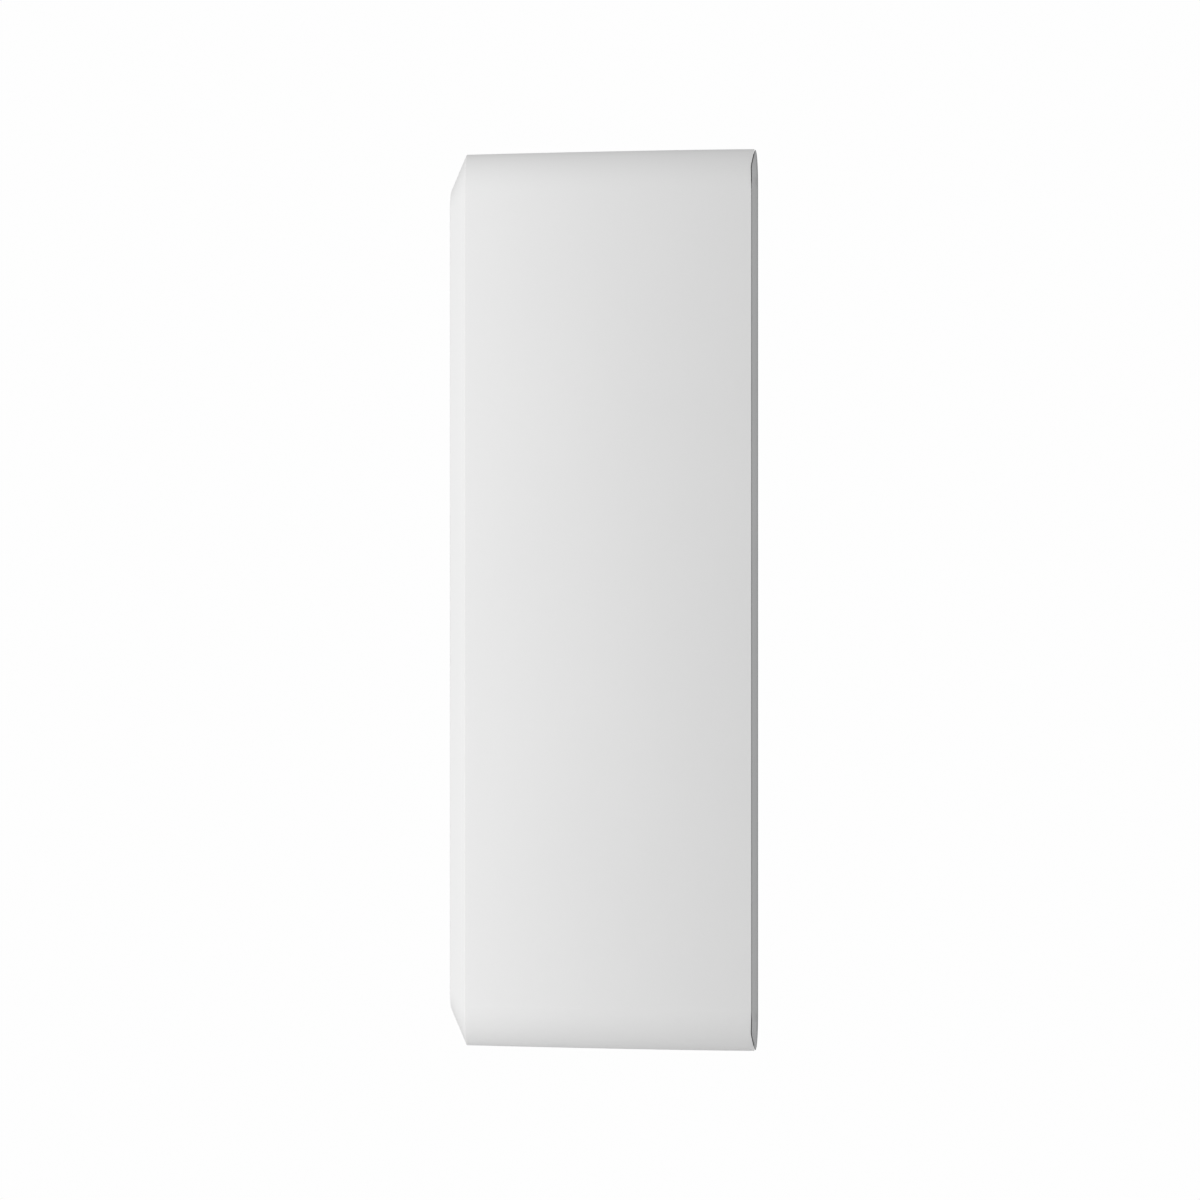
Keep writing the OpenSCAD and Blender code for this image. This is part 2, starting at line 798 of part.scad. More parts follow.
module speaker_gasket() {
    color([0.1, 0.1, 0.1]) slab(speaker_front_d, inner_d) translate([0, speaker_z]) difference() {
        rounded(speaker_w, speaker_h, speaker_r);
        rounded(speaker_w - 5, speaker_h - 3.4, 1.5);
    }
}

module speaker_mesh() {
    color([0.2, 0.2, 0.2]) slab(inner_d - 0.2, inner_d)
        translate([0, speaker_z]) rounded(speaker_w - 5.4, speaker_h - 3.8, 1.3);
}

module battery_cells() {
    color([0.3, 0.5, 0.75]) for (s = [-1, 1]) {
        upright(s * cell_x, cell_y, cell_r, cell_bottom, cell_top - 0.8);
        upright(s * cell_x, cell_y, 3, cell_top - 0.8 - skin, cell_top);
    }
}

module battery_sleeve() {
    outer = cell_r + sleeve_t;
    color([0.15, 0.3, 0.55]) translate([0, -cell_y, cell_bottom]) linear_extrude(cell_l - 0.8)
        difference() {
            pill(2 * (cell_x + outer), 2 * outer);
            pill(2 * (cell_x + cell_r + run_fit), 2 * (cell_r + run_fit));
        }
}

module battery_cradle() {
    w = 2 * (cell_x + cell_r + sleeve_t);
    color([0.12, 0.12, 0.12]) {
        block(0, (cell_top + cell_bottom) / 2, w, cell_l + 4, cradle_d, cradle_d + cradle_t);
        for (z = [cell_bottom - 2 + cradle_end / 2, cell_top + 2 - cradle_end / 2])
            block(0, z, w - 16, cradle_end, cell_y - 4, cradle_d + skin);
    }
}

module battery_lead() {
    x0 = 12;
    z1 = cell_bottom - 3.5;
    color([0.7, 0.1, 0.1]) for (x = [x0, x0 + 2]) wire([
        [x, -cell_y - 2, cell_bottom], [x, -cell_y - 2, z1],
        [x, -board_back_d + 1.8, z1], [x, -board_back_d + 1.8, z1 - 3.5]
    ], 0.55);
}

module battery_plug() {
    color([0.9, 0.9, 0.85])
        block(13, cell_bottom - 9.5, 7, 5, board_back_d - 3.2, board_back_d);
}

module usb_board() {
    color([0.05, 0.3, 0.15]) difference() {
        block(0, (usb_board_top + usb_board_bottom) / 2, usb_board_w,
            usb_board_top - usb_board_bottom, usb_back_d, usb_front_d);
        for (s = [-1, 1])
            bar(s * usb_screw_x, usb_screw_z, screw_r + screw_play, usb_back_d - over,
                usb_front_d + over);
    }
}

module usb_port() {
    color([0.7, 0.7, 0.72]) translate([0, -port_d, port_z]) difference() {
        linear_extrude(port_l) rounded(port_w, port_t, port_r);
        translate([0, 0, -over]) linear_extrude(port_l - 0.4 + over)
            rounded(port_w - 0.6, port_t - 0.6, port_r - 0.3);
    }
}

module usb_tongue() {
    color([0.1, 0.1, 0.1]) translate([-3.3, -port_d - 0.35, port_z + 1.6])
        cube([6.6, 0.7, port_l - 0.4 - 1.6]);
}

module usb_door() {
    color([0.9, 0.9, 0.9]) {
        translate([-door_w / 2, -hinge_d - door_l, door_out_z]) cube([door_w, door_l, door_t]);
        translate([0, -hinge_d, hinge_z]) rotate([0, 90, 0]) {
            cylinder(r = knuckle_r, h = door_w, center = true);
            cylinder(r = trunnion_r, h = door_w + 2 * trunnion_l, center = true);
        }
    }
}

module door_seal() {
    color([0.2, 0.2, 0.2]) translate([0, -port_d, door_out_z + door_t])
        linear_extrude(door_seal_t) rounded(port_w + 3, port_t + 3, 2);
}

module reset_button() {
    color([0.4, 0.4, 0.42]) {
        upright(reset_x, port_d, reset_r, reset_out_z, reset_top_z);
        upright(reset_x, port_d, reset_r + reset_flange, reset_top_z - reset_flange_t, reset_top_z);
    }
}

module reset_switch() {
    nub_z = reset_top_z + reset_travel + run_fit;
    color([0.7, 0.7, 0.7]) {
        block(reset_x, nub_z + (reset_nub_l + reset_switch_l) / 2, reset_switch_w, reset_switch_l,
            usb_front_d, usb_front_d + port_t);
        block(reset_x, nub_z + reset_nub_l / 2, 2, reset_nub_l, usb_front_d + 1, usb_front_d + 2.2);
    }
}

module board_ribbon() {
    top = board_bottom + 1.4;
    color([0.8, 0.75, 0.6]) {
        block(0, (top + usb_board_top) / 2 - 1, 8, top - usb_board_top + 2, usb_front_d,
            usb_front_d + 0.3);
        block(0, top - 0.15, 8, 0.3, usb_front_d, board_back_d);
    }
}

module wifi_antenna() {
    color([0.75, 0.5, 0.2]) translate([-6, -22, cavity_h / 2 - 0.3]) cube([24.5, 10, 0.3]);
}

module antenna_cable() {
    x = 17.5;
    top = cavity_h / 2 - 0.3 - 0.6;
    d1 = board_front_d + 0.6;
    color([0.1, 0.1, 0.1])
        wire([[x, -20, top], [x, -d1, top], [x, -d1, board_top - 4]], 0.55);
}

module rear_cover() {
    color([0.85, 0.85, 0.85]) difference() {
        union() {
            slab(cover_d, cover_in_d)
                rounded(pocket_w - 3 * hair, pocket_h - 3 * hair, pocket_r - hair);
            slab(cover_in_d - skin, terminal_back_d) translate([0, wire_z])
                rounded(wire_recess_w + 2 * wire_wall, wire_recess_h + 2 * wire_wall, 2.6);
            for (s = [-1, 1])
                bar(s * usb_screw_x, usb_screw_z, 2, cover_in_d - skin, usb_back_d);
        }
        slab(cover_d - over, wire_floor_d)
            translate([0, wire_z]) rounded(wire_recess_w, wire_recess_h, 1);
        for (s = [-1, 1]) {
            bar(s * terminal_x, wire_z, 1.6, wire_floor_d - over, terminal_back_d + over);
            bar(s * usb_screw_x, usb_screw_z, screw_r + run_fit, usb_back_d - 4.5, usb_back_d + over);
        }
        at_bosses() {
            bar(0, 0, pilot_r + 0.1, cover_d - over, cover_in_d + over);
            bar(0, 0, cover_head_r + 2 * hair, cover_d - over, cover_d + cover_head_t);
        }
    }
}

module cover_gasket() {
    color([0.1, 0.1, 0.1]) slab(cover_in_d, ledge_d) difference() {
        rounded(pocket_w - 2 * hair, pocket_h - 2 * hair, pocket_r - hair);
        rounded(cavity_w - 2 * seal_lip, cavity_h - 2 * seal_lip, cavity_r - seal_lip);
    }
}

module cover_screws() {
    color([0.6, 0.6, 0.62]) at_bosses() screw(0, 0, cover_head_r, cover_head_t, pilot_r - run_fit,
        cover_screw_l, cover_d);
}

module terminal_block() {
    color([0.2, 0.2, 0.2]) difference() {
        slab(terminal_back_d, terminal_back_d + terminal_t)
            translate([0, wire_z]) rounded(24, 9, 1);
        for (s = [-1, 1])
            bar(s * terminal_x, wire_z, terminal_r + run_fit, terminal_back_d - over,
                terminal_back_d + terminal_t + over);
    }
}

module terminal_screws() {
    color([0.75, 0.65, 0.35]) for (s = [-1, 1]) {
        screw(s * terminal_x, wire_z, terminal_head_r, terminal_head_t, terminal_r, 6.4,
            wire_floor_d - washer_t - terminal_head_t);
        difference() {
            block(s * terminal_x, wire_z, washer, washer, wire_floor_d - washer_t, wire_floor_d);
            bar(s * terminal_x, wire_z, 1.4, wire_floor_d - over, wire_floor_d + over);
        }
    }
}

module wall_plate() {
    color([0.6, 0.6, 0.6]) difference() {
        union() {
            slab(0, plate_t) rounded(core_w, core_h, pocket_r - plate_play);
            intersection() {
                slab(0, reveal - rim_gap)
                    rounded(body_w - 2 * hair, body_h - 2 * hair, corner_r - hair);
                rim_region(reveal - rim_gap, 0);
            }
        }
        slab(-over, plate_t + over) translate([0, wire_z]) rounded(cable_w, cable_h, 2);
        for (s = [-1, 1]) {
            bar(0, screw_mid_z + s * screw_spacing / 2, screw_hole_d / 2, -over, plate_t + over);
            bar(0, screw_mid_z + s * screw_spacing / 2, screw_hole_d, plate_t - wall_head_t,
                plate_t + over);
            block(0, s * core_h / 2, spring_l + 2, spring_pocket_h, reveal - rim_gap, plate_t + over);
        }
    }
}

module catch_springs() {
    color([0.75, 0.75, 0.77]) for (s = [0, 1]) mirror([0, 0, s])
        slab(spring_d, spring_d + spring_w) intersection() {
            translate([0, spring_top - spring_r]) difference() {
                circle(spring_r, $fn = 180);
                circle(spring_r - spring_t, $fn = 180);
            }
            translate([-spring_l / 2, spring_top - spring_bow - spring_t])
                square([spring_l, spring_bow + 2 * spring_t]);
        }
}

front_housing();
camera_window();
window_gasket();
lens_barrel();
front_lens();
inner_lenses();
lens_holder();
ir_filter();
image_sensor();
camera_board();
camera_connector();
ir_board();
ir_leds();
light_sensor();
ir_baffle();
camera_bracket();
bracket_screws();
pir_lens();
pir_sensor();
bell_button();
light_ring();
ring_gasket();
button_plunger();
button_switch();
button_dome();
ring_leds();
main_board();
board_screws();
shield_can();
processor();
memory_chip();
microphone();
mic_boot();
speaker_frame();
speaker_cone();
speaker_magnet();
speaker_gasket();
speaker_mesh();
battery_cells();
battery_sleeve();
battery_cradle();
battery_lead();
battery_plug();
usb_board();
usb_port();
usb_tongue();
usb_door();
door_seal();
reset_button();
reset_switch();
board_ribbon();
wifi_antenna();
antenna_cable();
rear_cover();
cover_gasket();
cover_screws();
terminal_block();
terminal_screws();
wall_plate();
catch_springs();
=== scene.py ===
import json
import math

import bmesh
import bpy
import numpy as np
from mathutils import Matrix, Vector
from mathutils.geometry import delaunay_2d_cdt


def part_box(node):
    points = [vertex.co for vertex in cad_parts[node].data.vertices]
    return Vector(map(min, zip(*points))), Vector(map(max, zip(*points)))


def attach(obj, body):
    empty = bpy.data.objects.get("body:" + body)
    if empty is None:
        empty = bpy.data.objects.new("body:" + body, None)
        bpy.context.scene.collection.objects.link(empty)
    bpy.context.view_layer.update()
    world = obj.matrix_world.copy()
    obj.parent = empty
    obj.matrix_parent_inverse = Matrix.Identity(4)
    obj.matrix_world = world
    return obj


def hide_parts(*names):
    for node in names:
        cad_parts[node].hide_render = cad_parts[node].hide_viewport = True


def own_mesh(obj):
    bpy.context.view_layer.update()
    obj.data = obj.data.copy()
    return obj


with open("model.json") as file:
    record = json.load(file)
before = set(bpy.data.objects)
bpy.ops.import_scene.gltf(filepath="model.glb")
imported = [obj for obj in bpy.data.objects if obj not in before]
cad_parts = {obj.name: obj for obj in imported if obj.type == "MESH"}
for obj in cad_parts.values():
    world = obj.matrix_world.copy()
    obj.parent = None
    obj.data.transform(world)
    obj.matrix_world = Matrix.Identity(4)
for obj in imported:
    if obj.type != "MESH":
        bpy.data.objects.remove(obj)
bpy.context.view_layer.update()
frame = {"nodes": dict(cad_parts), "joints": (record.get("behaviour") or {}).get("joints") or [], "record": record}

# Lengths are in millimetres up to makePiece, which turns them into metres.
# A depth is counted from the wall towards the front, so it is minus Y.
metre = 1000.0


def span(node):
    # lowest and highest corner of a CAD node in millimetres, as (x, depth, z)
    low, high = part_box(node)
    lowest = np.array([low.x, -high.y, low.z]) * metre
    highest = np.array([high.x, -low.y, high.z]) * metre
    return lowest, highest


def middle(node):
    lowest, highest = span(node)
    return (lowest + highest) / 2


# Shapes are worked out as whole arrays and gathered in a Shell.

def roundLoop(width, height, radius, at=(0.0, 0.0), steps=16):
    # a rectangle with round corners: each corner is its centre plus the radius turned a quarter;
    # with the radius at half the width it is a pill, and at half of both a circle
    radius = max(radius, 1e-4)
    turn = np.arange(4)[:, None] * math.pi / 2 + np.linspace(0, math.pi / 2, steps + 1)
    side = np.array([[1, 1], [-1, 1], [-1, -1], [1, -1]])
    centre = side * (np.array([width, height]) / 2 - radius)
    loop = centre[:, None, :] + radius * np.stack([np.cos(turn), np.sin(turn)], -1)
    return loop.reshape(-1, 2) + np.asarray(at, float)


def softPath(corners, reach=(), steps=5):
    # a line through the corners whose inner corners are rounded by a parabola that
    # starts and ends `reach` away; a reach of 0 keeps the corner sharp
    corners = np.asarray(corners, float)
    reach = list(reach) + [0] * (len(corners) - 2 - len(reach))
    t = np.linspace(0, 1, steps + 1)[:, None]
    path = [corners[:1]]
    for before, here, after, far in zip(corners, corners[1:], corners[2:], reach):
        if far == 0:
            path.append(here[None])
            continue
        start = here + (before - here) * far / np.linalg.norm(before - here)
        end = here + (after - here) * far / np.linalg.norm(after - here)
        path.append((1 - t) ** 2 * start + 2 * t * (1 - t) * here + t ** 2 * end)
    path.append(corners[-1:])
    return np.concatenate(path)


def dome(radius, edge, rise, count=14):
    # points of (radius, level) from the middle of a shallow dome to its edge:
    # the level falls from edge + rise with the square of the radius
    r = np.linspace(0, radius, count)
    return [(a, edge + rise * (1 - (a / radius) ** 2)) for a in r]


def frontal(loop, level):
    # a flat outline of (x, z) placed at a depth, which may differ from point to point
    return np.column_stack([loop[:, 0], np.broadcast_to(-np.asarray(level, float), len(loop)), loop[:, 1]])


def lower(loop, level):
    # a flat outline of (x, depth) placed at a height
    return np.column_stack([loop[:, 0], -loop[:, 1], np.broadcast_to(np.asarray(level, float), len(loop))])


def insideOf(points, loop):
    # even-odd rule: a line to the right of the point crosses the outline an odd number of times
    a, b = loop, np.roll(loop, -1, axis=0)
    x, y = points[:, :1], points[:, 1:]
    crosses = (a[:, 1] > y) != (b[:, 1] > y)
    rise = np.where(a[:, 1] == b[:, 1], 1.0, b[:, 1] - a[:, 1])
    where = a[:, 0] + (y - a[:, 1]) * (b[:, 0] - a[:, 0]) / rise
    return (crosses & (x < where)).sum(axis=1) % 2 == 1


class Shell:
    # the points and faces of one piece, welded where its parts meet
    def __init__(self):
        self.points = []
        self.faces = []
        self.count = 0

    def keep(self, points, faces):
        self.faces += (np.asarray(faces) + self.count).tolist()
        self.points.append(points)
        self.count += len(points)

    def wall(self, loops, leaveOut=()):
        # four-sided faces between each outline and the next; columns named in leaveOut stay open
        loops = np.asarray(loops)
        rows, columns = loops.shape[:2]
        index = np.arange(rows * columns).reshape(rows, columns)
        beside = np.roll(index, -1, axis=1)
        quads = np.stack([index[:-1], beside[:-1], beside[1:], index[1:]], -1)
        used = np.setdiff1d(np.arange(columns), leaveOut)
        self.keep(loops.reshape(-1, 3), quads[:, used].reshape(-1, 4))

    def cap(self, outline, holes=(), level=0.0, lay=frontal, extra=None):
        # a face inside an outline with holes in it; level is a number or a function of the flat points
        loops = [outline, *holes]
        flat = np.concatenate(loops if extra is None else loops + [extra])
        edges = []
        start = 0
        for loop in loops:
            ring = start + np.arange(len(loop))
            edges += np.column_stack([ring, np.roll(ring, -1)]).tolist()
            start += len(loop)
        made = delaunay_2d_cdt([Vector(p) for p in flat.tolist()], edges, [], 1, 1e-5, False)
        corners = np.array([tuple(v) for v in made[0]])
        triangles = np.array(made[2])
        centre = corners[triangles].mean(axis=1)
        good = insideOf(centre, outline)
        for hole in holes:
            good &= ~insideOf(centre, hole)
        height = level(corners) if callable(level) else level
        self.keep(lay(corners, height), triangles[good])

    def tube(self, shape, corners, reach=(), lay=frontal, steps=16):
        # the wall of one outline carried along a path of (inset, level);
        # returns its first and last outline
        width, height, radius, x, z = shape
        path = softPath(corners, reach)
        loops = [roundLoop(width - 2 * i, height - 2 * i, radius - i, (x, z), steps)
                 for i in path[:, 0]]
        self.wall([lay(loop, level) for loop, level in zip(loops, path[:, 1])])
        return loops[0], loops[-1]

    def turned(self, at, corners, reach=(), lay=frontal, steps=20):
        # a path of (radius, level) turned round an axis
        path = softPath(corners, reach)
        loops = [roundLoop(2 * r, 2 * r, r, at, steps) for r in path[:, 0]]
        self.wall([lay(loop, level) for loop, level in zip(loops, path[:, 1])])

    def plate(self, shape, levels, soft, holes=(), lay=frontal, steps=16):
        # a flat slab with rounded edges;
        # each hole is (shape, path of (inset, level) from front to back, reach)
        back, front = levels
        low, high = soft
        path = [(low, back), (0, back), (0, front), (high, front)]
        first, last = self.tube(shape, path, (low, high), lay, steps)
        mouths = [self.tube(hole, path, reach, lay) for hole, path, reach in holes]
        self.cap(first, [m[1] for m in mouths], back, lay)
        self.cap(last, [m[0] for m in mouths], front, lay)


def circle(radius, x=0.0, z=0.0):
    return (2 * radius, 2 * radius, radius, x, z)


def pill(width, height, x=0.0, z=0.0):
    return (width, height, min(width, height) / 2, x, z)


def makePiece(name, shell, body, slotName, replaced, sharp=32.0, finish=None):
    # welds the shell, turns its faces outwards, hangs the piece on its body, hides the CAD parts it replaces and
    # gives it its finish
    piece = bpy.data.objects.new(name, bpy.data.meshes.new(name))
    bpy.context.scene.collection.objects.link(piece)
    mesh = piece.data
    mesh.from_pydata(np.concatenate(shell.points).tolist(), [], shell.faces)
    work = bmesh.new()
    work.from_mesh(mesh)
    bmesh.ops.remove_doubles(work, verts=work.verts, dist=0.002)
    bmesh.ops.dissolve_degenerate(work, edges=work.edges, dist=0.0005)
    bmesh.ops.recalc_face_normals(work, faces=work.faces)
    bmesh.ops.scale(work, vec=Vector((1, 1, 1)) / metre, verts=work.verts)
    work.to_mesh(mesh)
    work.free()
    mesh.shade_smooth()
    mesh.set_sharp_from_angle(angle=math.radians(sharp))
    even = piece.modifiers.new("evenShading", "WEIGHTED_NORMAL")
    even.keep_sharp = True
    even.weight = 80
    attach(piece, body)
    if replaced:
        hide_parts(*replaced)
    mesh.materials.append(finishes[finish or slotName])
    return piece


# Finishes: one function for each kind of surface, one row of values for each finish.

class Wire:
    # one socket of a material; sums with it add their Math nodes
    def __init__(self, recipe, socket):
        self.recipe = recipe
        self.socket = socket

    def sum(self, operation, *values):
        return self.recipe.maths(operation, *values)

    def __add__(self, other):
        return self.sum("ADD", self, other)

    def __radd__(self, other):
        return self.sum("ADD", other, self)

    def __sub__(self, other):
        return self.sum("SUBTRACT", self, other)

    def __rsub__(self, other):
        return self.sum("SUBTRACT", other, self)

    def __mul__(self, other):
        return self.sum("MULTIPLY", self, other)

    def __rmul__(self, other):
        return self.sum("MULTIPLY", other, self)

    def __truediv__(self, other):
        return self.sum("DIVIDE", self, other)

    def __rtruediv__(self, other):
        return self.sum("DIVIDE", other, self)


class Recipe:
    # the nodes of one material, or of the world
    def __init__(self, owner, coordinates="Object"):
        owner.use_nodes = True
        self.owner = owner
        self.tree = owner.node_tree
        self.tree.nodes.clear()
        self.place = self.add("TexCoord", {}, {}, coordinates)

    def add(self, kind, settings, inputs, output=0):
        # one node: its settings first, then the values or wires of its sockets
        node = self.tree.nodes.new("ShaderNode" + kind)
        for key, value in settings.items():
            setattr(node, key, value)
        for key, value in inputs.items():
            if isinstance(value, Wire):
                self.tree.links.new(value.socket, node.inputs[key])
            else:
                node.inputs[key].default_value = value
        return Wire(self, node.outputs[output]) if len(node.outputs) else node

    def noise(self, size, detail=3.0, rough=0.55, stretch=(1, 1, 1), shift=(0, 0, 0)):
        # soft random pattern whose largest patches are `size` metres across
        where = self.add("Mapping", {}, {"Vector": self.place, "Location": shift, "Scale": stretch})
        return self.add("TexNoise", {}, {"Vector": where, "Scale": 1 / size, "Detail": detail,
                                         "Roughness": rough})

    def cells(self, size):
        # distance to the nearest of many scattered points about `size` metres apart
        return self.add("TexVoronoi", {}, {"Vector": self.place, "Scale": 1 / size})

    def mix(self, mask, first, second):
        # one colour where the mask is 0, the other where it is 1
        inputs = {0: mask}
        for number, colour in ((6, first), (7, second)):
            inputs[number] = colour if isinstance(colour, Wire) else (*colour, 1)
        return self.add("Mix", {"data_type": "RGBA"}, inputs, 2)

    def maths(self, operation, *values):
        return self.add("Math", {"operation": operation}, dict(enumerate(values)))

    def between(self, value, low, high):
        # the value taken from low..high to 0..1
        return self.add("MapRange", {"clamp": True}, {"Value": value, "From Min": low, "From Max": high})

    def axes(self):
        return [self.add("SeparateXYZ", {}, {"Vector": self.place}, axis) for axis in range(3)]

    def bump(self, height, strength, distance):
        return self.add("Bump", {}, {"Strength": strength, "Distance": distance, "Height": height})

    def finish(self, **sockets):
        # the surface shader; names are written without spaces
        shader = self.tree.nodes.new("ShaderNodeBsdfPrincipled")
        names = {socket.name.replace(" ", ""): socket.name for socket in shader.inputs}
        for key, value in sockets.items():
            socket = shader.inputs[names[key]]
            if isinstance(value, Wire):
                self.tree.links.new(value.socket, socket)
            else:
                socket.default_value = (*value, 1) if socket.type == "RGBA" else value
        out = self.tree.nodes.new("ShaderNodeOutputMaterial")
        self.tree.links.new(shader.outputs[0], out.inputs["Surface"])
        return self.owner


def wornEdge(recipe, low=0.53, high=0.62):
    # 1 on outward edges, 0 on flat faces, from how sharply the surface turns
    return recipe.between(recipe.add("NewGeometry", {}, {}, "Pointiness"), low, high)


def mouldedPlastic(name, look):
    # spark-eroded mould texture: a fine grain in the bump and the gloss, with a faint uneven tone,
    # handled edges a little smoother and lighter, and some dust held by the grain
    cloudSize, grainDeep, fleckShare = 0.018, 0.00002, 2.2
    recipe = Recipe(bpy.data.materials.new(name))
    grain = recipe.noise(look["grain"], 4, 0.6)
    cloud = recipe.noise(cloudSize, 2, 0.5, shift=(3, 1, 2))
    fleck = recipe.cells(look["grain"] * fleckShare)
    edge = wornEdge(recipe)
    tone = recipe.mix(cloud, look["colour"], look["shade"])
    tone = recipe.mix(recipe.between(grain, 0.35, 0.75) * look["fleck"], tone, look["shade"])
    tone = recipe.mix(edge * look["wear"], tone, look["worn"])
    gloss = look["rough"] + (grain - 0.5) * look["uneven"] + (cloud - 0.5) * 0.06 - edge * 0.05
    height = grain * 0.7 + fleck * 0.3
    return recipe.finish(BaseColor=tone, Roughness=gloss, Normal=recipe.bump(height, look["bump"], grainDeep),
                         IOR=1.49, SpecularIORLevel=look.get("shine", 0.5),
                         SubsurfaceWeight=look.get("glow", 0.0), SubsurfaceRadius=(0.0012, 0.001, 0.0008),
                         CoatWeight=look.get("coat", 0.0), CoatRoughness=0.08)


def bareMetal(name, look):
    # drawn or turned metal: long fine lines, a few scratches, tarnish in clouds
    cloudSize, scratchSize, lineDeep = 0.004, 0.0012, 0.00001
    recipe = Recipe(bpy.data.materials.new(name))
    lines = recipe.noise(look["line"], 3, 0.6, stretch=look["stretch"])
    cloud = recipe.noise(cloudSize, 3, 0.6, shift=(7, 2, 5))
    scratch = recipe.noise(scratchSize, 2, 0.7, stretch=(9, 1, 1), shift=(4, 4, 4))
    scratch = recipe.between(scratch, 0.62, 0.66)
    edge = wornEdge(recipe, 0.52, 0.6)
    tone = recipe.mix(recipe.between(cloud, 0.35, 0.8), look["colour"], look["shade"])
    tone = recipe.mix(edge * 0.6, tone, look["worn"])
    gloss = look["rough"] + (lines - 0.5) * look["uneven"] + (cloud - 0.5) * 0.12 + scratch * 0.12
    height = lines * 0.8 - scratch * 0.4
    return recipe.finish(BaseColor=tone, Roughness=gloss, Metallic=1.0,
                         Normal=recipe.bump(height, look["bump"], lineDeep))


def softRubber(name, look):
    # dull moulded rubber with a powdery bloom
    bloomSize, grainDeep = 0.006, 0.00003
    recipe = Recipe(bpy.data.materials.new(name))
    grain = recipe.noise(look["grain"], 5, 0.65)
    bloom = recipe.between(recipe.noise(bloomSize, 3, 0.6), 0.4, 0.75)
    tone = recipe.mix(bloom * 0.5, look["colour"], look["shade"])
    gloss = look["rough"] + (grain - 0.5) * 0.25 + bloom * 0.08
    return recipe.finish(BaseColor=tone, Roughness=gloss, Normal=recipe.bump(grain, look["bump"], grainDeep),
                         SheenWeight=0.15, SheenRoughness=0.5)


def openFoam(name, look):
    # cut foam: open cells as small pits in the bump, painted darker inside as painted shade
    pitDeep = 0.00012
    recipe = Recipe(bpy.data.materials.new(name))
    pits = recipe.cells(look["grain"])
    # painted shade: the colour darkens towards the bottom of each pit
    tone = recipe.mix(recipe.between(pits, 0.25, 0.7), look["shade"], look["colour"])
    return recipe.finish(BaseColor=tone, Roughness=0.75 + pits * 0.2, Normal=recipe.bump(pits, 0.9, pitDeep))


def circuitBoard(name, look):
    # solder mask over copper: raised tracks that run up and across, with tinned pads between them
    weaveSize, bendSize, bendWide, padPitch, trackDeep = 0.0011, 0.0042, 0.0009, 0.0019, 0.00004
    recipe = Recipe(bpy.data.materials.new(name))
    x, y, z = recipe.axes()
    weave = recipe.noise(weaveSize, 2, 0.5)
    bend = (recipe.cells(bendSize) - 0.5) * bendWide
    track = recipe.maths("PINGPONG", x + bend, look["track"]) / look["track"]
    rung = recipe.maths("PINGPONG", z + bend, look["rung"]) / look["rung"]
    raised = recipe.between(track, 0.55, 0.62) * recipe.between(rung, 0.2, 0.3)
    pad = 1 - recipe.between(recipe.cells(padPitch), 0.16, 0.19)
    tone = recipe.mix(raised, look["colour"], look["shade"])
    tone = recipe.mix(weave * 0.25, tone, look["worn"])
    tone = recipe.mix(pad, tone, look["pad"])
    return recipe.finish(BaseColor=tone, Metallic=pad, Roughness=0.38 - pad * 0.1 + (weave - 0.5) * 0.15,
                         Normal=recipe.bump(raised + pad * 0.6 + weave * 0.2, 0.6, trackDeep))


def wovenMesh(name, look):
    # fine square weave: over-and-under threads from two crossing waves, with painted shade in the hollows and a
    # painted highlight on the raised threads
    threadDeep = 0.00008
    recipe = Recipe(bpy.data.materials.new(name))
    x, y, z = recipe.axes()
    pitch = look["pitch"]
    warp = recipe.maths("SINE", x * (2 * math.pi / pitch))
    weft = recipe.maths("SINE", z * (2 * math.pi / pitch))
    fuzz = recipe.noise(pitch * 0.6, 3, 0.6)
    height = (warp * weft) * 0.5 + 0.5
    # painted shade and highlight: darker where the threads dip, lighter where they rise
    tone = recipe.mix(recipe.between(height, 0.2, 0.8), look["colour"], look["shade"])
    return recipe.finish(BaseColor=tone, Roughness=0.55 + fuzz * 0.25,
                         Normal=recipe.bump(height + fuzz * 0.2, 1.0, threadDeep), SheenWeight=0.2)


def clearGlass(name, look):
    # polished or coated glass with faint wiping marks
    smearSize, dustPitch, smearDeep = 0.011, 0.0016, 0.00001
    recipe = Recipe(bpy.data.materials.new(name))
    smear = recipe.noise(smearSize, 4, 0.6, stretch=(1, 1, 2.4))
    haze = recipe.between(smear, 0.45, 0.8)
    dust = recipe.between(recipe.cells(dustPitch), 0.03, 0.015)
    tone = recipe.mix(dust * 0.4, look["colour"], look["shade"])
    return recipe.finish(BaseColor=tone, Roughness=look["rough"] + haze * 0.05 + dust * 0.2,
                         TransmissionWeight=look["clear"], IOR=look["ior"], CoatWeight=look["coat"],
                         CoatRoughness=0.02, CoatTint=look.get("tint", (1, 1, 1)),
                         Normal=recipe.bump(smear, 0.05, smearDeep))


def motionLens(name, look):
    # milky moulded lens: faint facets in rings and spokes round its middle
    grainSize, facetDeep = 0.0004, 0.00005
    recipe = Recipe(bpy.data.materials.new(name))
    at = middle("pir_lens") / metre
    x, y, z = recipe.axes()
    across = x - float(at[0])
    up = z - float(at[2])
    radius = recipe.maths("SQRT", across * across + up * up)
    ring = recipe.maths("FRACT", radius / look["pitch"])
    turn = recipe.maths("ARCTAN2", up, across) * (look["spokes"] / math.pi)
    spoke = recipe.maths("PINGPONG", turn, 1.0)
    seam = 1 - recipe.between(spoke, 0.0, 0.06)
    seam = seam * recipe.between(radius, look["pitch"], look["pitch"] * 1.2)
    grain = recipe.noise(grainSize, 3, 0.6)
    tone = recipe.mix(ring * 0.3 + seam * 0.4, look["colour"], look["shade"])
    height = ring * 0.6 - seam * 0.5 + grain * 0.1
    return recipe.finish(BaseColor=tone, Roughness=0.42 + (grain - 0.5) * 0.15, SubsurfaceWeight=0.35,
                         SubsurfaceRadius=(0.002, 0.002, 0.002), IOR=1.5,
                         Normal=recipe.bump(height, 0.35, facetDeep))


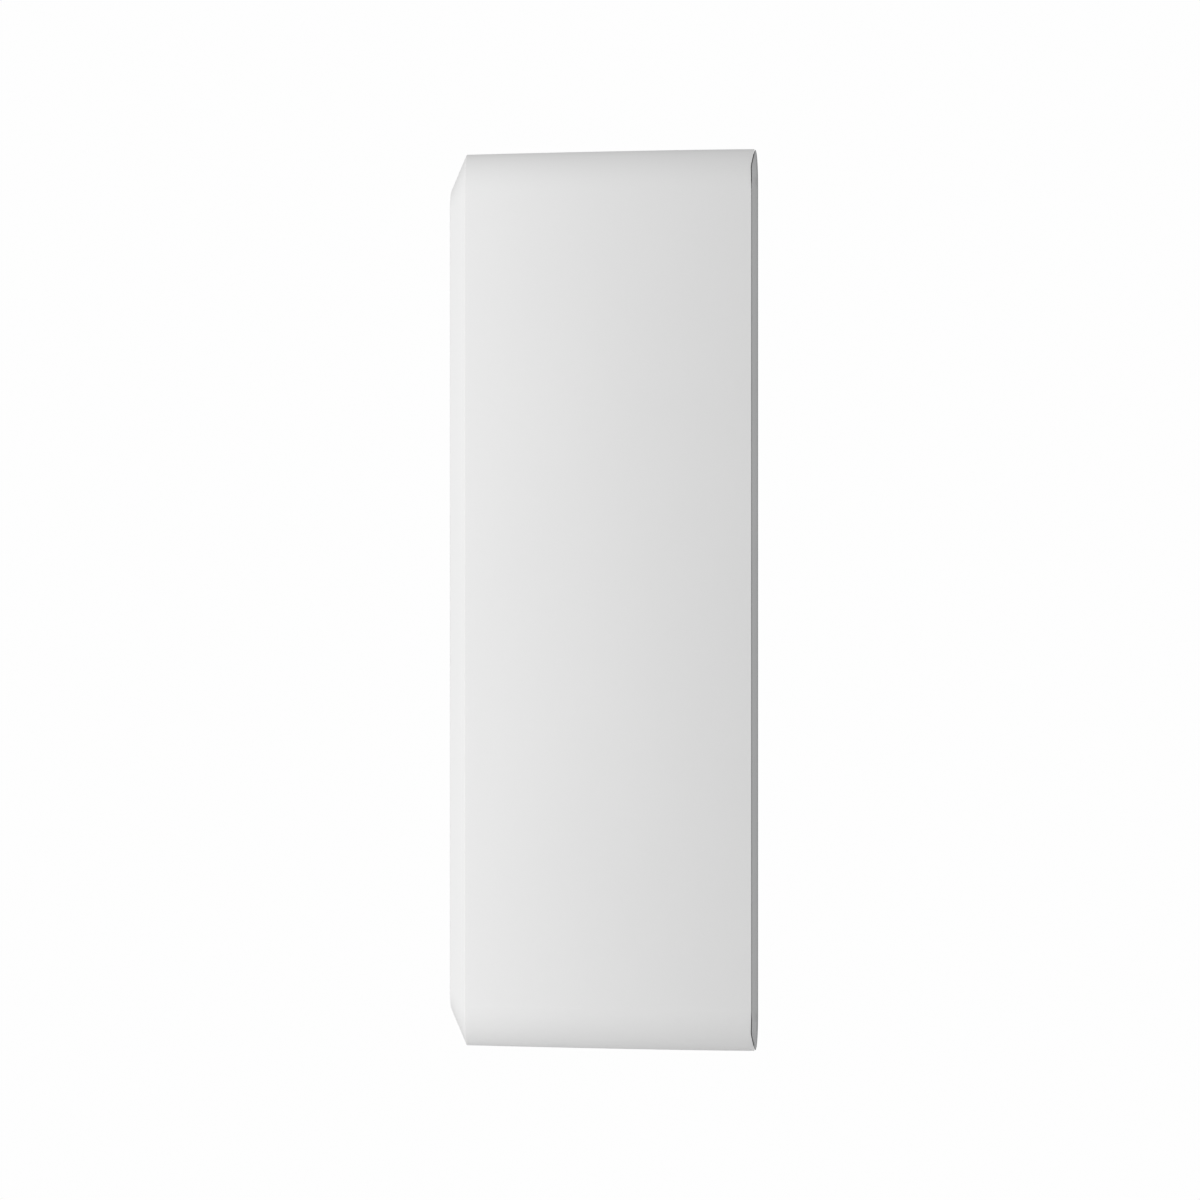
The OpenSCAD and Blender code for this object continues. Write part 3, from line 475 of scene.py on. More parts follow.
def wrappedCell(name, look):
    # shrink film drawn tight over the cells, with fine creases along it
    creaseSize, cloudSize, creaseDeep = 0.003, 0.012, 0.0002
    recipe = Recipe(bpy.data.materials.new(name))
    crease = recipe.noise(creaseSize, 4, 0.6, stretch=(3, 3, 0.4))
    cloud = recipe.noise(cloudSize, 2, 0.5)
    tone = recipe.mix(cloud, look["colour"], look["shade"])
    return recipe.finish(BaseColor=tone, Roughness=look["rough"] + (crease - 0.5) * 0.15,
                         Metallic=look.get("metal", 0.0), Normal=recipe.bump(crease, 0.35, creaseDeep),
                         CoatWeight=0.3, CoatRoughness=0.12)


plastic = {
    "housing_white": {"colour": (0.86, 0.86, 0.858), "shade": (0.835, 0.836, 0.836),
                      "worn": (0.88, 0.88, 0.88), "grain": 0.00016, "fleck": 0.10, "wear": 0.30,
                      "rough": 0.50, "uneven": 0.16, "bump": 0.22, "shine": 0.35},
    "button_white": {"colour": (0.85, 0.85, 0.85), "shade": (0.82, 0.822, 0.825),
                     "worn": (0.88, 0.88, 0.88), "grain": 0.00012, "fleck": 0.08, "wear": 0.30,
                     "rough": 0.42, "uneven": 0.14, "bump": 0.16, "coat": 0.08},
    "cover_plastic": {"colour": (0.80, 0.80, 0.79), "shade": (0.76, 0.76, 0.75),
                      "worn": (0.86, 0.86, 0.85), "grain": 0.00022, "fleck": 0.16, "wear": 0.40,
                      "rough": 0.55, "uneven": 0.20, "bump": 0.35},
    "grey_plastic": {"colour": (0.47, 0.474, 0.478), "shade": (0.425, 0.43, 0.435),
                     "worn": (0.55, 0.555, 0.56), "grain": 0.00024, "fleck": 0.22, "wear": 0.45,
                     "rough": 0.58, "uneven": 0.22, "bump": 0.40},
    "black_plastic": {"colour": (0.022, 0.022, 0.024), "shade": (0.035, 0.035, 0.036),
                      "worn": (0.09, 0.09, 0.09), "grain": 0.00020, "fleck": 0.30, "wear": 0.45,
                      "rough": 0.55, "uneven": 0.20, "bump": 0.35},
    "ring_plastic": {"colour": (0.80, 0.84, 0.87), "shade": (0.76, 0.80, 0.84),
                     "worn": (0.86, 0.89, 0.91), "grain": 0.00012, "fleck": 0.06, "wear": 0.25,
                     "rough": 0.30, "uneven": 0.12, "bump": 0.10, "glow": 0.5, "coat": 0.25},
    "connector_cream": {"colour": (0.74, 0.69, 0.56), "shade": (0.68, 0.63, 0.50),
                        "worn": (0.80, 0.76, 0.66), "grain": 0.00015, "fleck": 0.15, "wear": 0.35,
                        "rough": 0.45, "uneven": 0.18, "bump": 0.25},
    "chip_black": {"colour": (0.028, 0.028, 0.030), "shade": (0.042, 0.042, 0.044),
                   "worn": (0.10, 0.10, 0.10), "grain": 0.00010, "fleck": 0.35, "wear": 0.50,
                   "rough": 0.50, "uneven": 0.25, "bump": 0.40},
    "wire_red": {"colour": (0.50, 0.03, 0.025), "shade": (0.42, 0.02, 0.02), "worn": (0.60, 0.10, 0.08),
                 "grain": 0.00020, "fleck": 0.10, "wear": 0.20, "rough": 0.38, "uneven": 0.12,
                 "bump": 0.20},
    "wire_black": {"colour": (0.020, 0.020, 0.022), "shade": (0.032, 0.032, 0.034),
                   "worn": (0.07, 0.07, 0.07), "grain": 0.00020, "fleck": 0.10, "wear": 0.20,
                   "rough": 0.40, "uneven": 0.12, "bump": 0.20},
}
metal = {
    "steel": {"colour": (0.58, 0.59, 0.61), "shade": (0.46, 0.46, 0.47), "worn": (0.78, 0.78, 0.79),
              "line": 0.0004, "stretch": (1, 6, 1), "rough": 0.30, "uneven": 0.22, "bump": 0.25},
    "can_metal": {"colour": (0.66, 0.66, 0.67), "shade": (0.54, 0.54, 0.54), "worn": (0.80, 0.80, 0.80),
                  "line": 0.0006, "stretch": (8, 1, 1), "rough": 0.26, "uneven": 0.18, "bump": 0.20},
    "spring_steel": {"colour": (0.50, 0.50, 0.52), "shade": (0.36, 0.36, 0.40),
                     "worn": (0.74, 0.74, 0.75), "line": 0.0003, "stretch": (1, 1, 9), "rough": 0.24,
                     "uneven": 0.20, "bump": 0.22},
    "gold": {"colour": (0.80, 0.62, 0.30), "shade": (0.66, 0.48, 0.22), "worn": (0.92, 0.78, 0.46),
             "line": 0.0005, "stretch": (5, 1, 1), "rough": 0.28, "uneven": 0.20, "bump": 0.22},
    "copper_film": {"colour": (0.78, 0.46, 0.26), "shade": (0.60, 0.32, 0.18),
                    "worn": (0.88, 0.60, 0.40), "line": 0.0005, "stretch": (6, 1, 1), "rough": 0.34,
                    "uneven": 0.20, "bump": 0.20},
}
rubber = {
    "seal_rubber": {"colour": (0.030, 0.030, 0.032), "shade": (0.075, 0.075, 0.078), "grain": 0.00018,
                    "rough": 0.72, "bump": 0.5},
    "dome_rubber": {"colour": (0.52, 0.53, 0.55), "shade": (0.62, 0.62, 0.63), "grain": 0.00018,
                    "rough": 0.60, "bump": 0.4},
}
glass = {
    "window_black": {"colour": (0.010, 0.010, 0.012), "shade": (0.03, 0.03, 0.032), "rough": 0.03,
                     "clear": 0.0, "ior": 1.49, "coat": 0.0},
    "window_clear": {"colour": (0.80, 0.81, 0.84), "shade": (0.5, 0.5, 0.52), "rough": 0.02,
                     "clear": 1.0, "ior": 1.49, "coat": 0.0},
    "lens_glass": {"colour": (0.86, 0.90, 0.97), "shade": (0.6, 0.6, 0.62), "rough": 0.01, "clear": 1.0,
                   "ior": 1.62, "coat": 1.0, "tint": (0.62, 0.66, 0.95)},
    "filter_glass": {"colour": (0.62, 0.30, 0.34), "shade": (0.4, 0.3, 0.3), "rough": 0.04,
                     "clear": 0.8, "ior": 1.52, "coat": 0.8, "tint": (0.95, 0.45, 0.55)},
    "lamp_clear": {"colour": (0.93, 0.90, 0.78), "shade": (0.8, 0.75, 0.6), "rough": 0.10,
                   "clear": 0.55, "ior": 1.50, "coat": 0.4},
}

finishes = {}
for key, look in plastic.items():
    finishes[key] = mouldedPlastic(key, look)
for key, look in metal.items():
    finishes[key] = bareMetal(key, look)
for key, look in rubber.items():
    finishes[key] = softRubber(key, look)
for key, look in glass.items():
    finishes[key] = clearGlass(key, look)
# its shade colour is the painted shade inside the pits
finishes["foam"] = openFoam("foam", {
    "colour": (0.10, 0.10, 0.105), "shade": (0.03, 0.03, 0.03), "grain": 0.0005})
finishes["board_green"] = circuitBoard("board_green", {
    "colour": (0.012, 0.10, 0.045), "shade": (0.02, 0.16, 0.07), "worn": (0.04, 0.14, 0.08),
    "pad": (0.75, 0.72, 0.66), "track": 0.0004, "rung": 0.0009})
# its shade colour is the lighter one, the painted highlight on the raised threads
finishes["mesh_fabric"] = wovenMesh("mesh_fabric", {
    "colour": (0.02, 0.02, 0.022), "shade": (0.13, 0.13, 0.14), "pitch": 0.0004})
finishes["pir_plastic"] = motionLens("pir_plastic", {
    "colour": (0.80, 0.80, 0.785), "shade": (0.72, 0.72, 0.70), "pitch": 0.0011, "spokes": 6})
finishes["sleeve_blue"] = wrappedCell("sleeve_blue", {
    "colour": (0.03, 0.10, 0.34), "shade": (0.02, 0.07, 0.26), "rough": 0.28})
finishes["cell_metal"] = wrappedCell("cell_metal", {
    "colour": (0.62, 0.63, 0.64), "shade": (0.5, 0.5, 0.5), "rough": 0.32, "metal": 1.0})
print("finishes", len(finishes))

for subpart in frame["record"]["subparts"]:
    cad = frame["nodes"][subpart["node"]]
    cad.data.materials.clear()
    cad.data.materials.append(finishes[subpart["material_slot"]])
print("CAD nodes painted", len(frame["nodes"]))


# The housing, from the outside in.
housing = {
    "cornerRadius": 6.1,     # of the sides
    "faceRadius": 3.0,       # of the flat front face
    "lean": 0.62,            # how far each side has come in at the bevel
    "bow": 1.35,             # 1 would make the sides straight
    "bevelIn": 4.6,
    "bevelDeep": 2.2,
    "edgeSoft": 0.05,        # how far the rounding of each edge reaches
    "faceSoft": 0.30,
    "rimSoft": 0.02,
    "holeSoft": 0.12,
    "frontWall": 3.0,
    "cavity": 2.92,          # from the outside at the wall to the cavity
    "cavitySoft": 0.4,
    "ledge": 0.6,            # step that the rear cover sits on
    "ledgeDepth": 7.0,
    "ledgeRadius": 3.8,      # corner radius of the cavity
    "rimDepth": 0.9,         # gap to the wall along the sides, and at both ends
    "rimEndDepth": 0.15,
    "flare": 3.0,            # height over which the rim comes back to the wall
}
ringDepths = [1.3, 2.2, 3.5, 6, 9, 13, 17, 21, 25, 29, 32.5, 35.2, 36.2]    # of the rings round the sides
lowerEnd = {
    "pocketHalf": 8.6,       # the door's pocket: half its width, its edge nearer the wall, gap, depths
    "pocketBack": 8.9,
    "doorGap": 0.3,
    "notchHalf": 3.0,        # finger notch in front of it
    "notchReach": 1.6,
    "notchDeep": 1.0,
    "pocketDeep": 2.2,
    "resetHole": 2.05,
    "pinHole": 1.0,
    "pinDepth": 1.9,
    "port": (9.2, 3.4, 1.6),         # width, height and corner radius
    "pad": (20.8, 14.0, 0.02),
    "padHigh": 1.0,
    "gridHalf": 21.0,        # points that bend the strip with the sides' bow
    "gridCount": 15,
}
catchSlot = {"size": (13.6, 2.25, 0.1), "depth": 1.925, "deep": 0.85}
openings = {
    "window": (34.2, 44.2), "recess": 1.9, "step": 2.1,
    "ring": 12.6, "motionLens": 6.5, "microphone": 0.6,
    "slot": (18.0, 1.1), "slotPitch": 2.2,
}
posts = {
    "coverInset": 3.5,       # cover bosses, from the cavity's sides
    "cover": (3.6, 1.1, 10.0),       # radius, pilot radius and pilot depth
    "bracketX": 20.0, "bracketZ": 15.0, "bracketStart": 34.4, "bracket": (2.2, 0.9, 3.05),
    "boardX": 20.46, "boardZ": (-36.48, 2.75), "boardStart": 28.4, "board": (2.2, 0.9, 6.0),
    "soft": 0.15,
    "sunk": 0.3,             # how far each runs into the front wall
}

halfW, bodyD, halfH = span("front_housing")[1]
edgeD = bodyD - housing["bevelDeep"]
innerD = bodyD - housing["frontWall"]
coverX = halfW - housing["cavity"] - posts["coverInset"]
coverZ = halfH - housing["cavity"] - posts["coverInset"]
windowAt = middle("camera_window")
lensAt = middle("front_lens")
pirAt = middle("pir_lens")
ringAt = middle("light_ring")
meshAt = middle("speaker_mesh")
resetAt = middle("reset_button")
portAt = middle("usb_port")
micAt = middle("microphone")


def corners4(x, z):
    # the four places that mirror (x, z) left to right and top to bottom
    return [(sx * x, sz * z) for sx in (-1, 1) for sz in (-1, 1)]


def leanAt(depth):
    # how far the side has come in at a depth: a power of the depth, so the side is slightly bowed
    return housing["lean"] * (depth / edgeD) ** housing["bow"]


def outerLoop(inset):
    # outline of the outer form; on the bevel the corner radius falls to that of the front face
    down = min(max((inset - housing["lean"]) / housing["bevelIn"], 0), 1.2)
    radius = housing["cornerRadius"] + (housing["faceRadius"] - housing["cornerRadius"]) * down
    return roundLoop(2 * (halfW - inset), 2 * (halfH - inset), radius)


def rimDepth(z):
    # the rim stands off the wall along the sides and comes back to it at both ends
    down = np.clip((np.abs(z) - (halfH - housing["flare"])) / housing["flare"], 0, 1)
    return housing["rimDepth"] + (housing["rimEndDepth"] - housing["rimDepth"]) * down


def underside(points):
    # height of the lower end at flat points: the side's lean, and the rim's softened edge
    depth = points[:, 1]
    soften = np.interp(depth, rimPath[:, 1] + housing["rimEndDepth"], rimPath[:, 0])
    return -(halfH - leanAt(np.maximum(depth, 0)) - soften)


rimPath = softPath([(housing["rimSoft"], 0), (0, 0), (0, housing["rimSoft"])], [housing["rimSoft"] * 0.98])
top = 16                     # columns of faces along the straight top and bottom of an outline
bottom = 3 * (top + 1) - 1
resetLoop = roundLoop(*[2 * lowerEnd["resetHole"]] * 2, lowerEnd["resetHole"], resetAt[:2])
pinLoop = roundLoop(*[2 * lowerEnd["pinHole"]] * 2, lowerEnd["pinHole"], (0, lowerEnd["pinDepth"]))
portMouth = roundLoop(*lowerEnd["port"], portAt[:2])


def acrossEnds(loops, column):
    # the flat outline of the strip that one column of faces leaves open, as (x, depth)
    loops = np.asarray(loops)
    ends = np.concatenate([loops[:, column], loops[::-1, (column + 1) % loops.shape[1]]])
    return ends[:, [0, 1]] * [1, -1]


def addSides(shell):
    # rim, bowed sides, bevel and the start of the front face; the lower end stays open for its holes
    loops = []
    for inset, up in rimPath:
        loop = outerLoop(inset)
        loops.append(frontal(loop, rimDepth(loop[:, 1]) + up))
    last = ringDepths[-1]
    corner = softPath([(leanAt(last), last), (leanAt(edgeD), edgeD),
                       (housing["lean"] + housing["bevelIn"], bodyD), (halfW * 0.2, bodyD)],
                      [housing["edgeSoft"], housing["faceSoft"]])[:-1]
    for inset, depth in [(leanAt(d), d) for d in ringDepths[:-1]] + corner.tolist():
        loops.append(frontal(outerLoop(inset), depth))
    shell.wall(loops, [bottom])
    lastSide = len(rimPath) + len(ringDepths) - 1
    strip = np.asarray(loops)[lastSide:, [bottom, bottom + 1]]
    shell.wall(strip, [1])
    return loops, lastSide, outerLoop(corner[-1][0])


def addLowerEnd(shell, outline):
    # one gently bowed strip with the door pocket, its finger notch, the reset hole and the pin hole
    half, back = lowerEnd["pocketHalf"], lowerEnd["pocketBack"]
    front = span("usb_door")[1][1] + lowerEnd["doorGap"]
    notch, reach = lowerEnd["notchHalf"], front + lowerEnd["notchReach"]
    notchZ = -halfH + lowerEnd["notchDeep"]
    floorZ = -halfH + lowerEnd["pocketDeep"]
    notchLoop = np.array([(notch, front), (notch, reach), (-notch, reach), (-notch, front)])
    right = np.array([(half, back), (half, front)])
    left = np.array([(-half, front), (-half, back)])
    mouth = np.concatenate([right, notchLoop, left])
    pocket = np.concatenate([right, notchLoop[[0, 3]], left])
    across = np.linspace(-lowerEnd["gridHalf"], lowerEnd["gridHalf"], lowerEnd["gridCount"])
    grid = np.stack(np.meshgrid(across, np.array(ringDepths[1:-1])), -1).reshape(-1, 2)
    for hole in (mouth * 1.02, resetLoop, pinLoop):
        grid = grid[~insideOf(grid, hole)]
    shell.cap(outline, [mouth, resetLoop, pinLoop], underside, lower, grid)
    shell.wall([lower(mouth, underside(mouth)), lower(mouth, notchZ)])
    shell.cap(notchLoop, [], notchZ, lower)
    shell.wall([lower(pocket, notchZ), lower(pocket, floorZ)])
    shell.cap(pocket, [portMouth], floorZ, lower)
    return floorZ


def addCavity(shell, rim, floorZ):
    # rear pocket, ledge and cavity, then the ends that have holes in them
    ledge = housing["ledge"]
    width = 2 * (halfW - housing["cavity"] + ledge)
    height = 2 * (halfH - housing["cavity"] + ledge)

    def innerLoop(inset):
        return roundLoop(width - 2 * inset, height - 2 * inset, housing["ledgeRadius"] + ledge - inset)

    mouth = innerLoop(0)
    pocket = [frontal(mouth, d) for d in (rimDepth(mouth[:, 1]), 4.0, housing["ledgeDepth"])]
    shell.wall([rim, pocket[0]])
    shell.wall(pocket, [bottom, top])
    path = softPath([(ledge, housing["ledgeDepth"]), (ledge, innerD), (ledge + 0.8, innerD)],
                    [housing["cavitySoft"]])[:-1]
    cavity = [frontal(innerLoop(i), d) for i, d in path]
    shell.wall([pocket[-1], cavity[0]])
    shell.wall(cavity[:2], [bottom])
    shell.wall(cavity[1:])

    # slots in the pocket's ends that the springs snap into; the pin hole runs into the lower one
    slotLoop = roundLoop(*catchSlot["size"], (0, catchSlot["depth"]), 2)
    for column, sign in ((bottom, -1), (top, 1)):
        wallZ = sign * height / 2
        floor = wallZ + sign * catchSlot["deep"]
        shell.cap(acrossEnds(pocket, column), [slotLoop], wallZ, lower)
        shell.wall([lower(slotLoop, wallZ), lower(slotLoop, floor)])
        shell.cap(slotLoop, [pinLoop] if sign < 0 else [], floor, lower)
    shell.wall([lower(pinLoop, underside(pinLoop)), lower(pinLoop, -height / 2 - catchSlot["deep"])])

    # raised pad round the port, reset hole
    innerZ = -halfH + housing["cavity"]
    padZ = innerZ + lowerEnd["padHigh"]
    padLoop = roundLoop(*lowerEnd["pad"], portAt[:2], 1)
    shell.cap(acrossEnds(cavity[:2], bottom), [padLoop, resetLoop], innerZ, lower)
    shell.wall([lower(resetLoop, underside(resetLoop)), lower(resetLoop, innerZ)])
    shell.wall([lower(padLoop, innerZ), lower(padLoop, padZ)])
    shell.cap(padLoop, [portMouth], padZ, lower)
    shell.wall([lower(portMouth, floorZ), lower(portMouth, padZ)])
    return innerLoop(path[-1][0])


def addFrontWall(shell, face, inner):
    # both faces of the front wall with their openings, each a tube from one face to the other
    soft = housing["holeSoft"]
    step = openings["step"]
    recessD = bodyD - openings["recess"]
    through = [(-soft, bodyD), (0, bodyD), (0, innerD)]
    holes = [shell.tube(pill(*openings["window"], 0, windowAt[2]),
                        [*through[:2], (0, recessD), (step, recessD), (step, innerD)], [soft]),
             shell.tube(circle(openings["ring"], 0, ringAt[2]), through, [soft], steps=24),
             shell.tube(circle(openings["motionLens"], 0, pirAt[2]), through, [soft]),
             shell.tube(circle(openings["microphone"], micAt[0], micAt[2]), through, [soft], steps=6)]
    for k in (-1, 0, 1):
        slot = pill(*openings["slot"], 0, meshAt[2] + k * openings["slotPitch"])
        holes.append(shell.tube(slot, through, [soft], steps=8))
    shell.cap(face, [hole[0] for hole in holes], bodyD)
    shell.cap(inner, [hole[1] for hole in holes], innerD)


def addPost(shell, at, size, start):
    # a closed tube with a pilot hole that runs into the front wall
    outside, pilot, deep = size
    end = innerD + posts["sunk"]
    shell.turned(at, [(pilot, start + deep), (pilot, start), (outside, start), (outside, end), (0, end),
                      (0, start + deep), (pilot, start + deep)], [posts["soft"]] * 2, steps=8)


def makeHousing():
    shell = Shell()
    outer, lastSide, face = addSides(shell)
    floorZ = addLowerEnd(shell, acrossEnds(outer[:lastSide + 1], bottom))
    inner = addCavity(shell, outer[0], floorZ)
    addFrontWall(shell, face, inner)
    for x, z in corners4(coverX, coverZ):
        addPost(shell, (x, z), posts["cover"], housing["ledgeDepth"])
    for x, z in corners4(posts["bracketX"], posts["bracketZ"]):
        addPost(shell, (x, windowAt[2] + z), posts["bracket"], posts["bracketStart"])
    for side in (-1, 1):
        for z in posts["boardZ"]:
            addPost(shell, (side * posts["boardX"], z), posts["board"], posts["boardStart"])
    makePiece("housing_shell", shell, "camera_unit", "housing_white", ["front_housing"], 30)


makeHousing()
print("housing made")


# The front: window, lens, motion sensor, light ring and button.

def makeWindow():
    # a black polished plate, with clear discs set flush in it over the lens and the light sensor
    look = {"edge": 0.35, "backEdge": 0.06, "lensHole": 6.2, "sensorHole": 0.9, "discBack": 0.05,
            "discGap": 0.004, "discEdge": 0.001}
    low, high = span("camera_window")
    width, height = (high - low)[[0, 2]]
    back, front = low[1], high[1]
    holes = []
    for name, radius, z in (("lens", look["lensHole"], lensAt[2]),
                            ("sensor", look["sensorHole"], middle("light_sensor")[2])):
        holes.append((circle(radius, 0, z), [(0, front), (0, back)], ()))
        disc = Shell()
        disc.plate(circle(radius - look["discGap"], 0, z), (back + look["discBack"], front),
                   (look["discEdge"], look["discEdge"]))
        makePiece("window_clear_" + name, disc, "camera_unit", "window_black", [], 40, "window_clear")
    plate = Shell()
    plate.plate(pill(width, height, 0, windowAt[2]), (back, front), (look["backEdge"], look["edge"]), holes,
                steps=24)
    makePiece("window_plate", plate, "camera_unit", "window_black", ["camera_window"], 40)


def makeLens():
    # barrel: a stepped tube whose mouth has stray-light grooves; lens: a dome on a flat back
    look = {"bore": 3.6, "neck": 5.0, "shoulder": 34.8, "outside": 6.5, "mouth": 6.1, "seatRadius": 5.55,
            "seat": 35.6, "lensRadius": 5.5, "lensEdge": 36.4, "lensRise": 1.08}
    groove = {"count": 4, "radius": 5.62, "widen": 0.1, "cut": 0.16, "first": 0.35, "pitch": 0.4}
    low, high = span("lens_barrel")
    back, front = low[1], high[1]
    grooves = []
    for k in range(groove["count"]):
        radius = groove["radius"] + groove["widen"] * k
        level = look["seat"] + groove["first"] + k * groove["pitch"]
        grooves += [(radius, level), (radius + groove["cut"], level + groove["pitch"] / 2)]
    barrel = Shell()
    barrel.turned((0, lensAt[2]), [(look["bore"], back), (look["neck"], back),
                                   (look["neck"], look["shoulder"]),
                                   (look["outside"], look["shoulder"]), (look["outside"], front),
                                   (look["mouth"], front), *grooves[::-1], (look["seatRadius"], look["seat"]),
                                   (look["bore"], look["seat"]), (look["bore"], back)],
                  [0.1, 0, 0.2, 0.2, 0.1], steps=24)
    makePiece("lens_barrel_turned", barrel, "camera_unit", "black_plastic", ["lens_barrel"], 25)
    radius, seat = look["lensRadius"], look["seat"]
    lens = Shell()
    lens.turned((0, lensAt[2]), [*dome(radius, look["lensEdge"], look["lensRise"], 20),
                                 (radius, seat), (0, seat)], steps=24)
    makePiece("front_lens_ground", lens, "camera_unit", "lens_glass", ["front_lens"], 40)


def makeMotionLens():
    # a shallow dome with a flange behind the front wall and saw-tooth rings on its inner face
    look = {"radius": 6.4, "domeRadius": 6.2, "drop": 0.25, "lip": 0.02, "rise": 0.23, "flange": 7.6,
            "flangeT": 1.0, "wall": 0.8, "thick": 0.8}
    tooth = {"count": 5, "radius": 5.3, "pitch": 0.95, "width": 0.8, "high": 0.18}
    edge = span("pir_lens")[1][1] - look["drop"]
    inner = edge - look["thick"]
    teeth = []
    for k in range(tooth["count"]):
        r = tooth["radius"] - k * tooth["pitch"]
        teeth += [(r, inner), (r - tooth["width"], inner + tooth["high"])]
    foot = innerD - look["flangeT"]
    bore = look["radius"] - look["wall"]
    shell = Shell()
    shell.turned((0, pirAt[2]), [*dome(look["domeRadius"], edge + look["lip"], look["rise"]),
                                 (look["radius"], edge), (look["radius"], innerD), (look["flange"], innerD),
                                 (look["flange"], foot), (bore, foot), (bore, inner), *teeth, (0, inner)],
                 steps=24)
    makePiece("motion_lens", shell, "camera_unit", "pir_plastic", ["pir_lens"], 35)


def makeRing():
    # a flat-faced ring with a clamping flange and a long skirt that carries the light forwards
    look = {"inside": 10.3, "outside": 12.5, "flange": 14.0, "flangeFront": 36.4, "flangeBack": 35.2,
            "skirt": 11.7, "lipT": 1.85}
    low, high = span("light_ring")
    foot, front = low[1], high[1]
    lip = innerD - look["lipT"]
    inside, outside, flange = look["inside"], look["outside"], look["flange"]
    ring = Shell()
    ring.turned((0, ringAt[2]), [(inside, lip), (inside, front), (outside, front),
                                 (outside, look["flangeFront"]), (flange, look["flangeFront"]),
                                 (flange, look["flangeBack"]),
                                 (outside, look["flangeBack"]), (outside, foot), (look["skirt"], foot),
                                 (look["skirt"], lip), (inside, lip)],
                [0.3, 0.4, 0.1, 0.2, 0.2, 0.1, 0.1, 0.1, 0.1], steps=32)
    makePiece("light_ring_moulded", ring, "camera_unit", "ring_plastic", ["light_ring"])


def dish(radius, level, deep, reach, count):
    # points of (radius, level) of a hollow that rises to its edge with the square of the radius
    return [(r, level + deep * (1 - (r / radius) ** 2)) for r in np.linspace(0, reach, count)]


def makeButton():
    # a dished cap with a flange behind the ring's lip, hollow round its middle stem
    look = {"radius": 10.0, "dish": 0.5, "dishReach": 9.3, "back": 33.3, "flange": 11.3, "flangeT": 1.5,
            "bore": 8.6, "roof": 37.6, "stem": 2.4}
    low, high = span("bell_button")
    foot, front = low[1], high[1]
    back = look["back"]
    step = back + look["flangeT"]
    button = Shell()
    button.turned((0, ringAt[2]), [*dish(look["radius"], front, -look["dish"], look["dishReach"], 16),
                                   (look["radius"], front), (look["radius"], step), (look["flange"], step),
                                   (look["flange"], back), (look["bore"], back), (look["bore"], look["roof"]),
                                   (look["stem"], look["roof"]), (look["stem"], foot), (0, foot)],
                  [0] * 15 + [0.45, 0.1, 0.2, 0.1, 0.1, 0.3, 0.3, 0.2], steps=32)
    makePiece("button_cap", button, "bell", "button_white", ["bell_button"], 40)


def makeDome():
    # the silicone ring that returns the button: a folded wall turned round the button's axis
    low, high = span("button_dome")
    foot, top = low[1], high[1]
    wall = 0.8
    outer = (high[0] - low[0]) / 2
    r = outer - wall
    fold = Shell()
    fold.turned((0, ringAt[2]), [(outer, foot), (outer, foot + wall), (r, foot + 2 * wall), (r, top),
                                 (r - wall, top), (r - wall, foot + 1.6 * wall), (r, foot + 0.6 * wall),
                                 (r, foot), (outer, foot)],
                [0.15, 0.4, 0.15, 0.15, 0.4, 0.2, 0.05])
    piece = makePiece("button_dome_moulded", fold, "camera_unit", "dome_rubber", ["button_dome"])
    press = next(joint for joint in frame["joints"] if joint["name"] == "bell_press")
    travel = (press["range_m"][1] - press["range_m"][0]) * metre
    1 - travel / (top - foot)
    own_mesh(piece)


makeWindow()
makeLens()
makeMotionLens()
makeRing()
makeButton()
makeDome()
print("front made")


# The lower end: door, port and reset button.

def makeDoor():
    # a flat leaf on a knuckle with a thinner pin at each end; the knuckle is circles carried along X
    look = {"width": 16.8, "corner": 0.5, "inside": -57.0, "softIn": 0.12, "softOut": 0.22}
    hinge = {"knuckle": 0.9, "pin": 0.55, "depth": 10.0, "height": -57.3, "half": 8.4, "pinHalf": 9.6}
    low, high = span("usb_door")
    back, front = hinge["depth"], high[1]
    door = Shell()
    door.plate((look["width"], front - back, look["corner"], 0, (front + back) / 2),
               (look["inside"], low[2]), (look["softIn"], look["softOut"]), (), lower)
    knuckle, pin, half, end = hinge["knuckle"], hinge["pin"], hinge["half"], hinge["pinHalf"]
    path = softPath([(0, -end), (pin, -end), (pin, -half), (knuckle, -half), (knuckle, half), (pin, half),
                     (pin, end), (0, end)], [0.15, 0, 0.12, 0.12, 0, 0.15])
    loops = []
    for radius, x in path:
        ring = roundLoop(2 * radius, 2 * radius, radius, (hinge["depth"], hinge["height"]), 8)
        loops.append(np.column_stack([np.full(len(ring), x), -ring[:, 0], ring[:, 1]]))
    door.wall(loops)
    makePiece("port_door_leaf", door, "port_door", "housing_white", ["usb_door"])


def makeReset():
    # a short dished button with a flange inside the housing
    look = {"radius": 2.0, "dish": 0.15, "dishReach": 1.7, "flange": 2.8, "flangeT": 0.7}
    low, high = span("reset_button")
    foot, top = low[2], high[2]
    step = top - look["flangeT"]
    reset = Shell()
    reset.turned(resetAt[:2], [*dish(look["radius"], foot, look["dish"], look["dishReach"], 8),
                               (look["radius"], foot), (look["radius"], step), (look["flange"], step),
                               (look["flange"], top), (0, top)],
                 [0] * 7 + [0.2, 0.1, 0.1, 0.1], lower, 12)
    makePiece("reset_cap", reset, "reset", "grey_plastic", ["reset_button"])


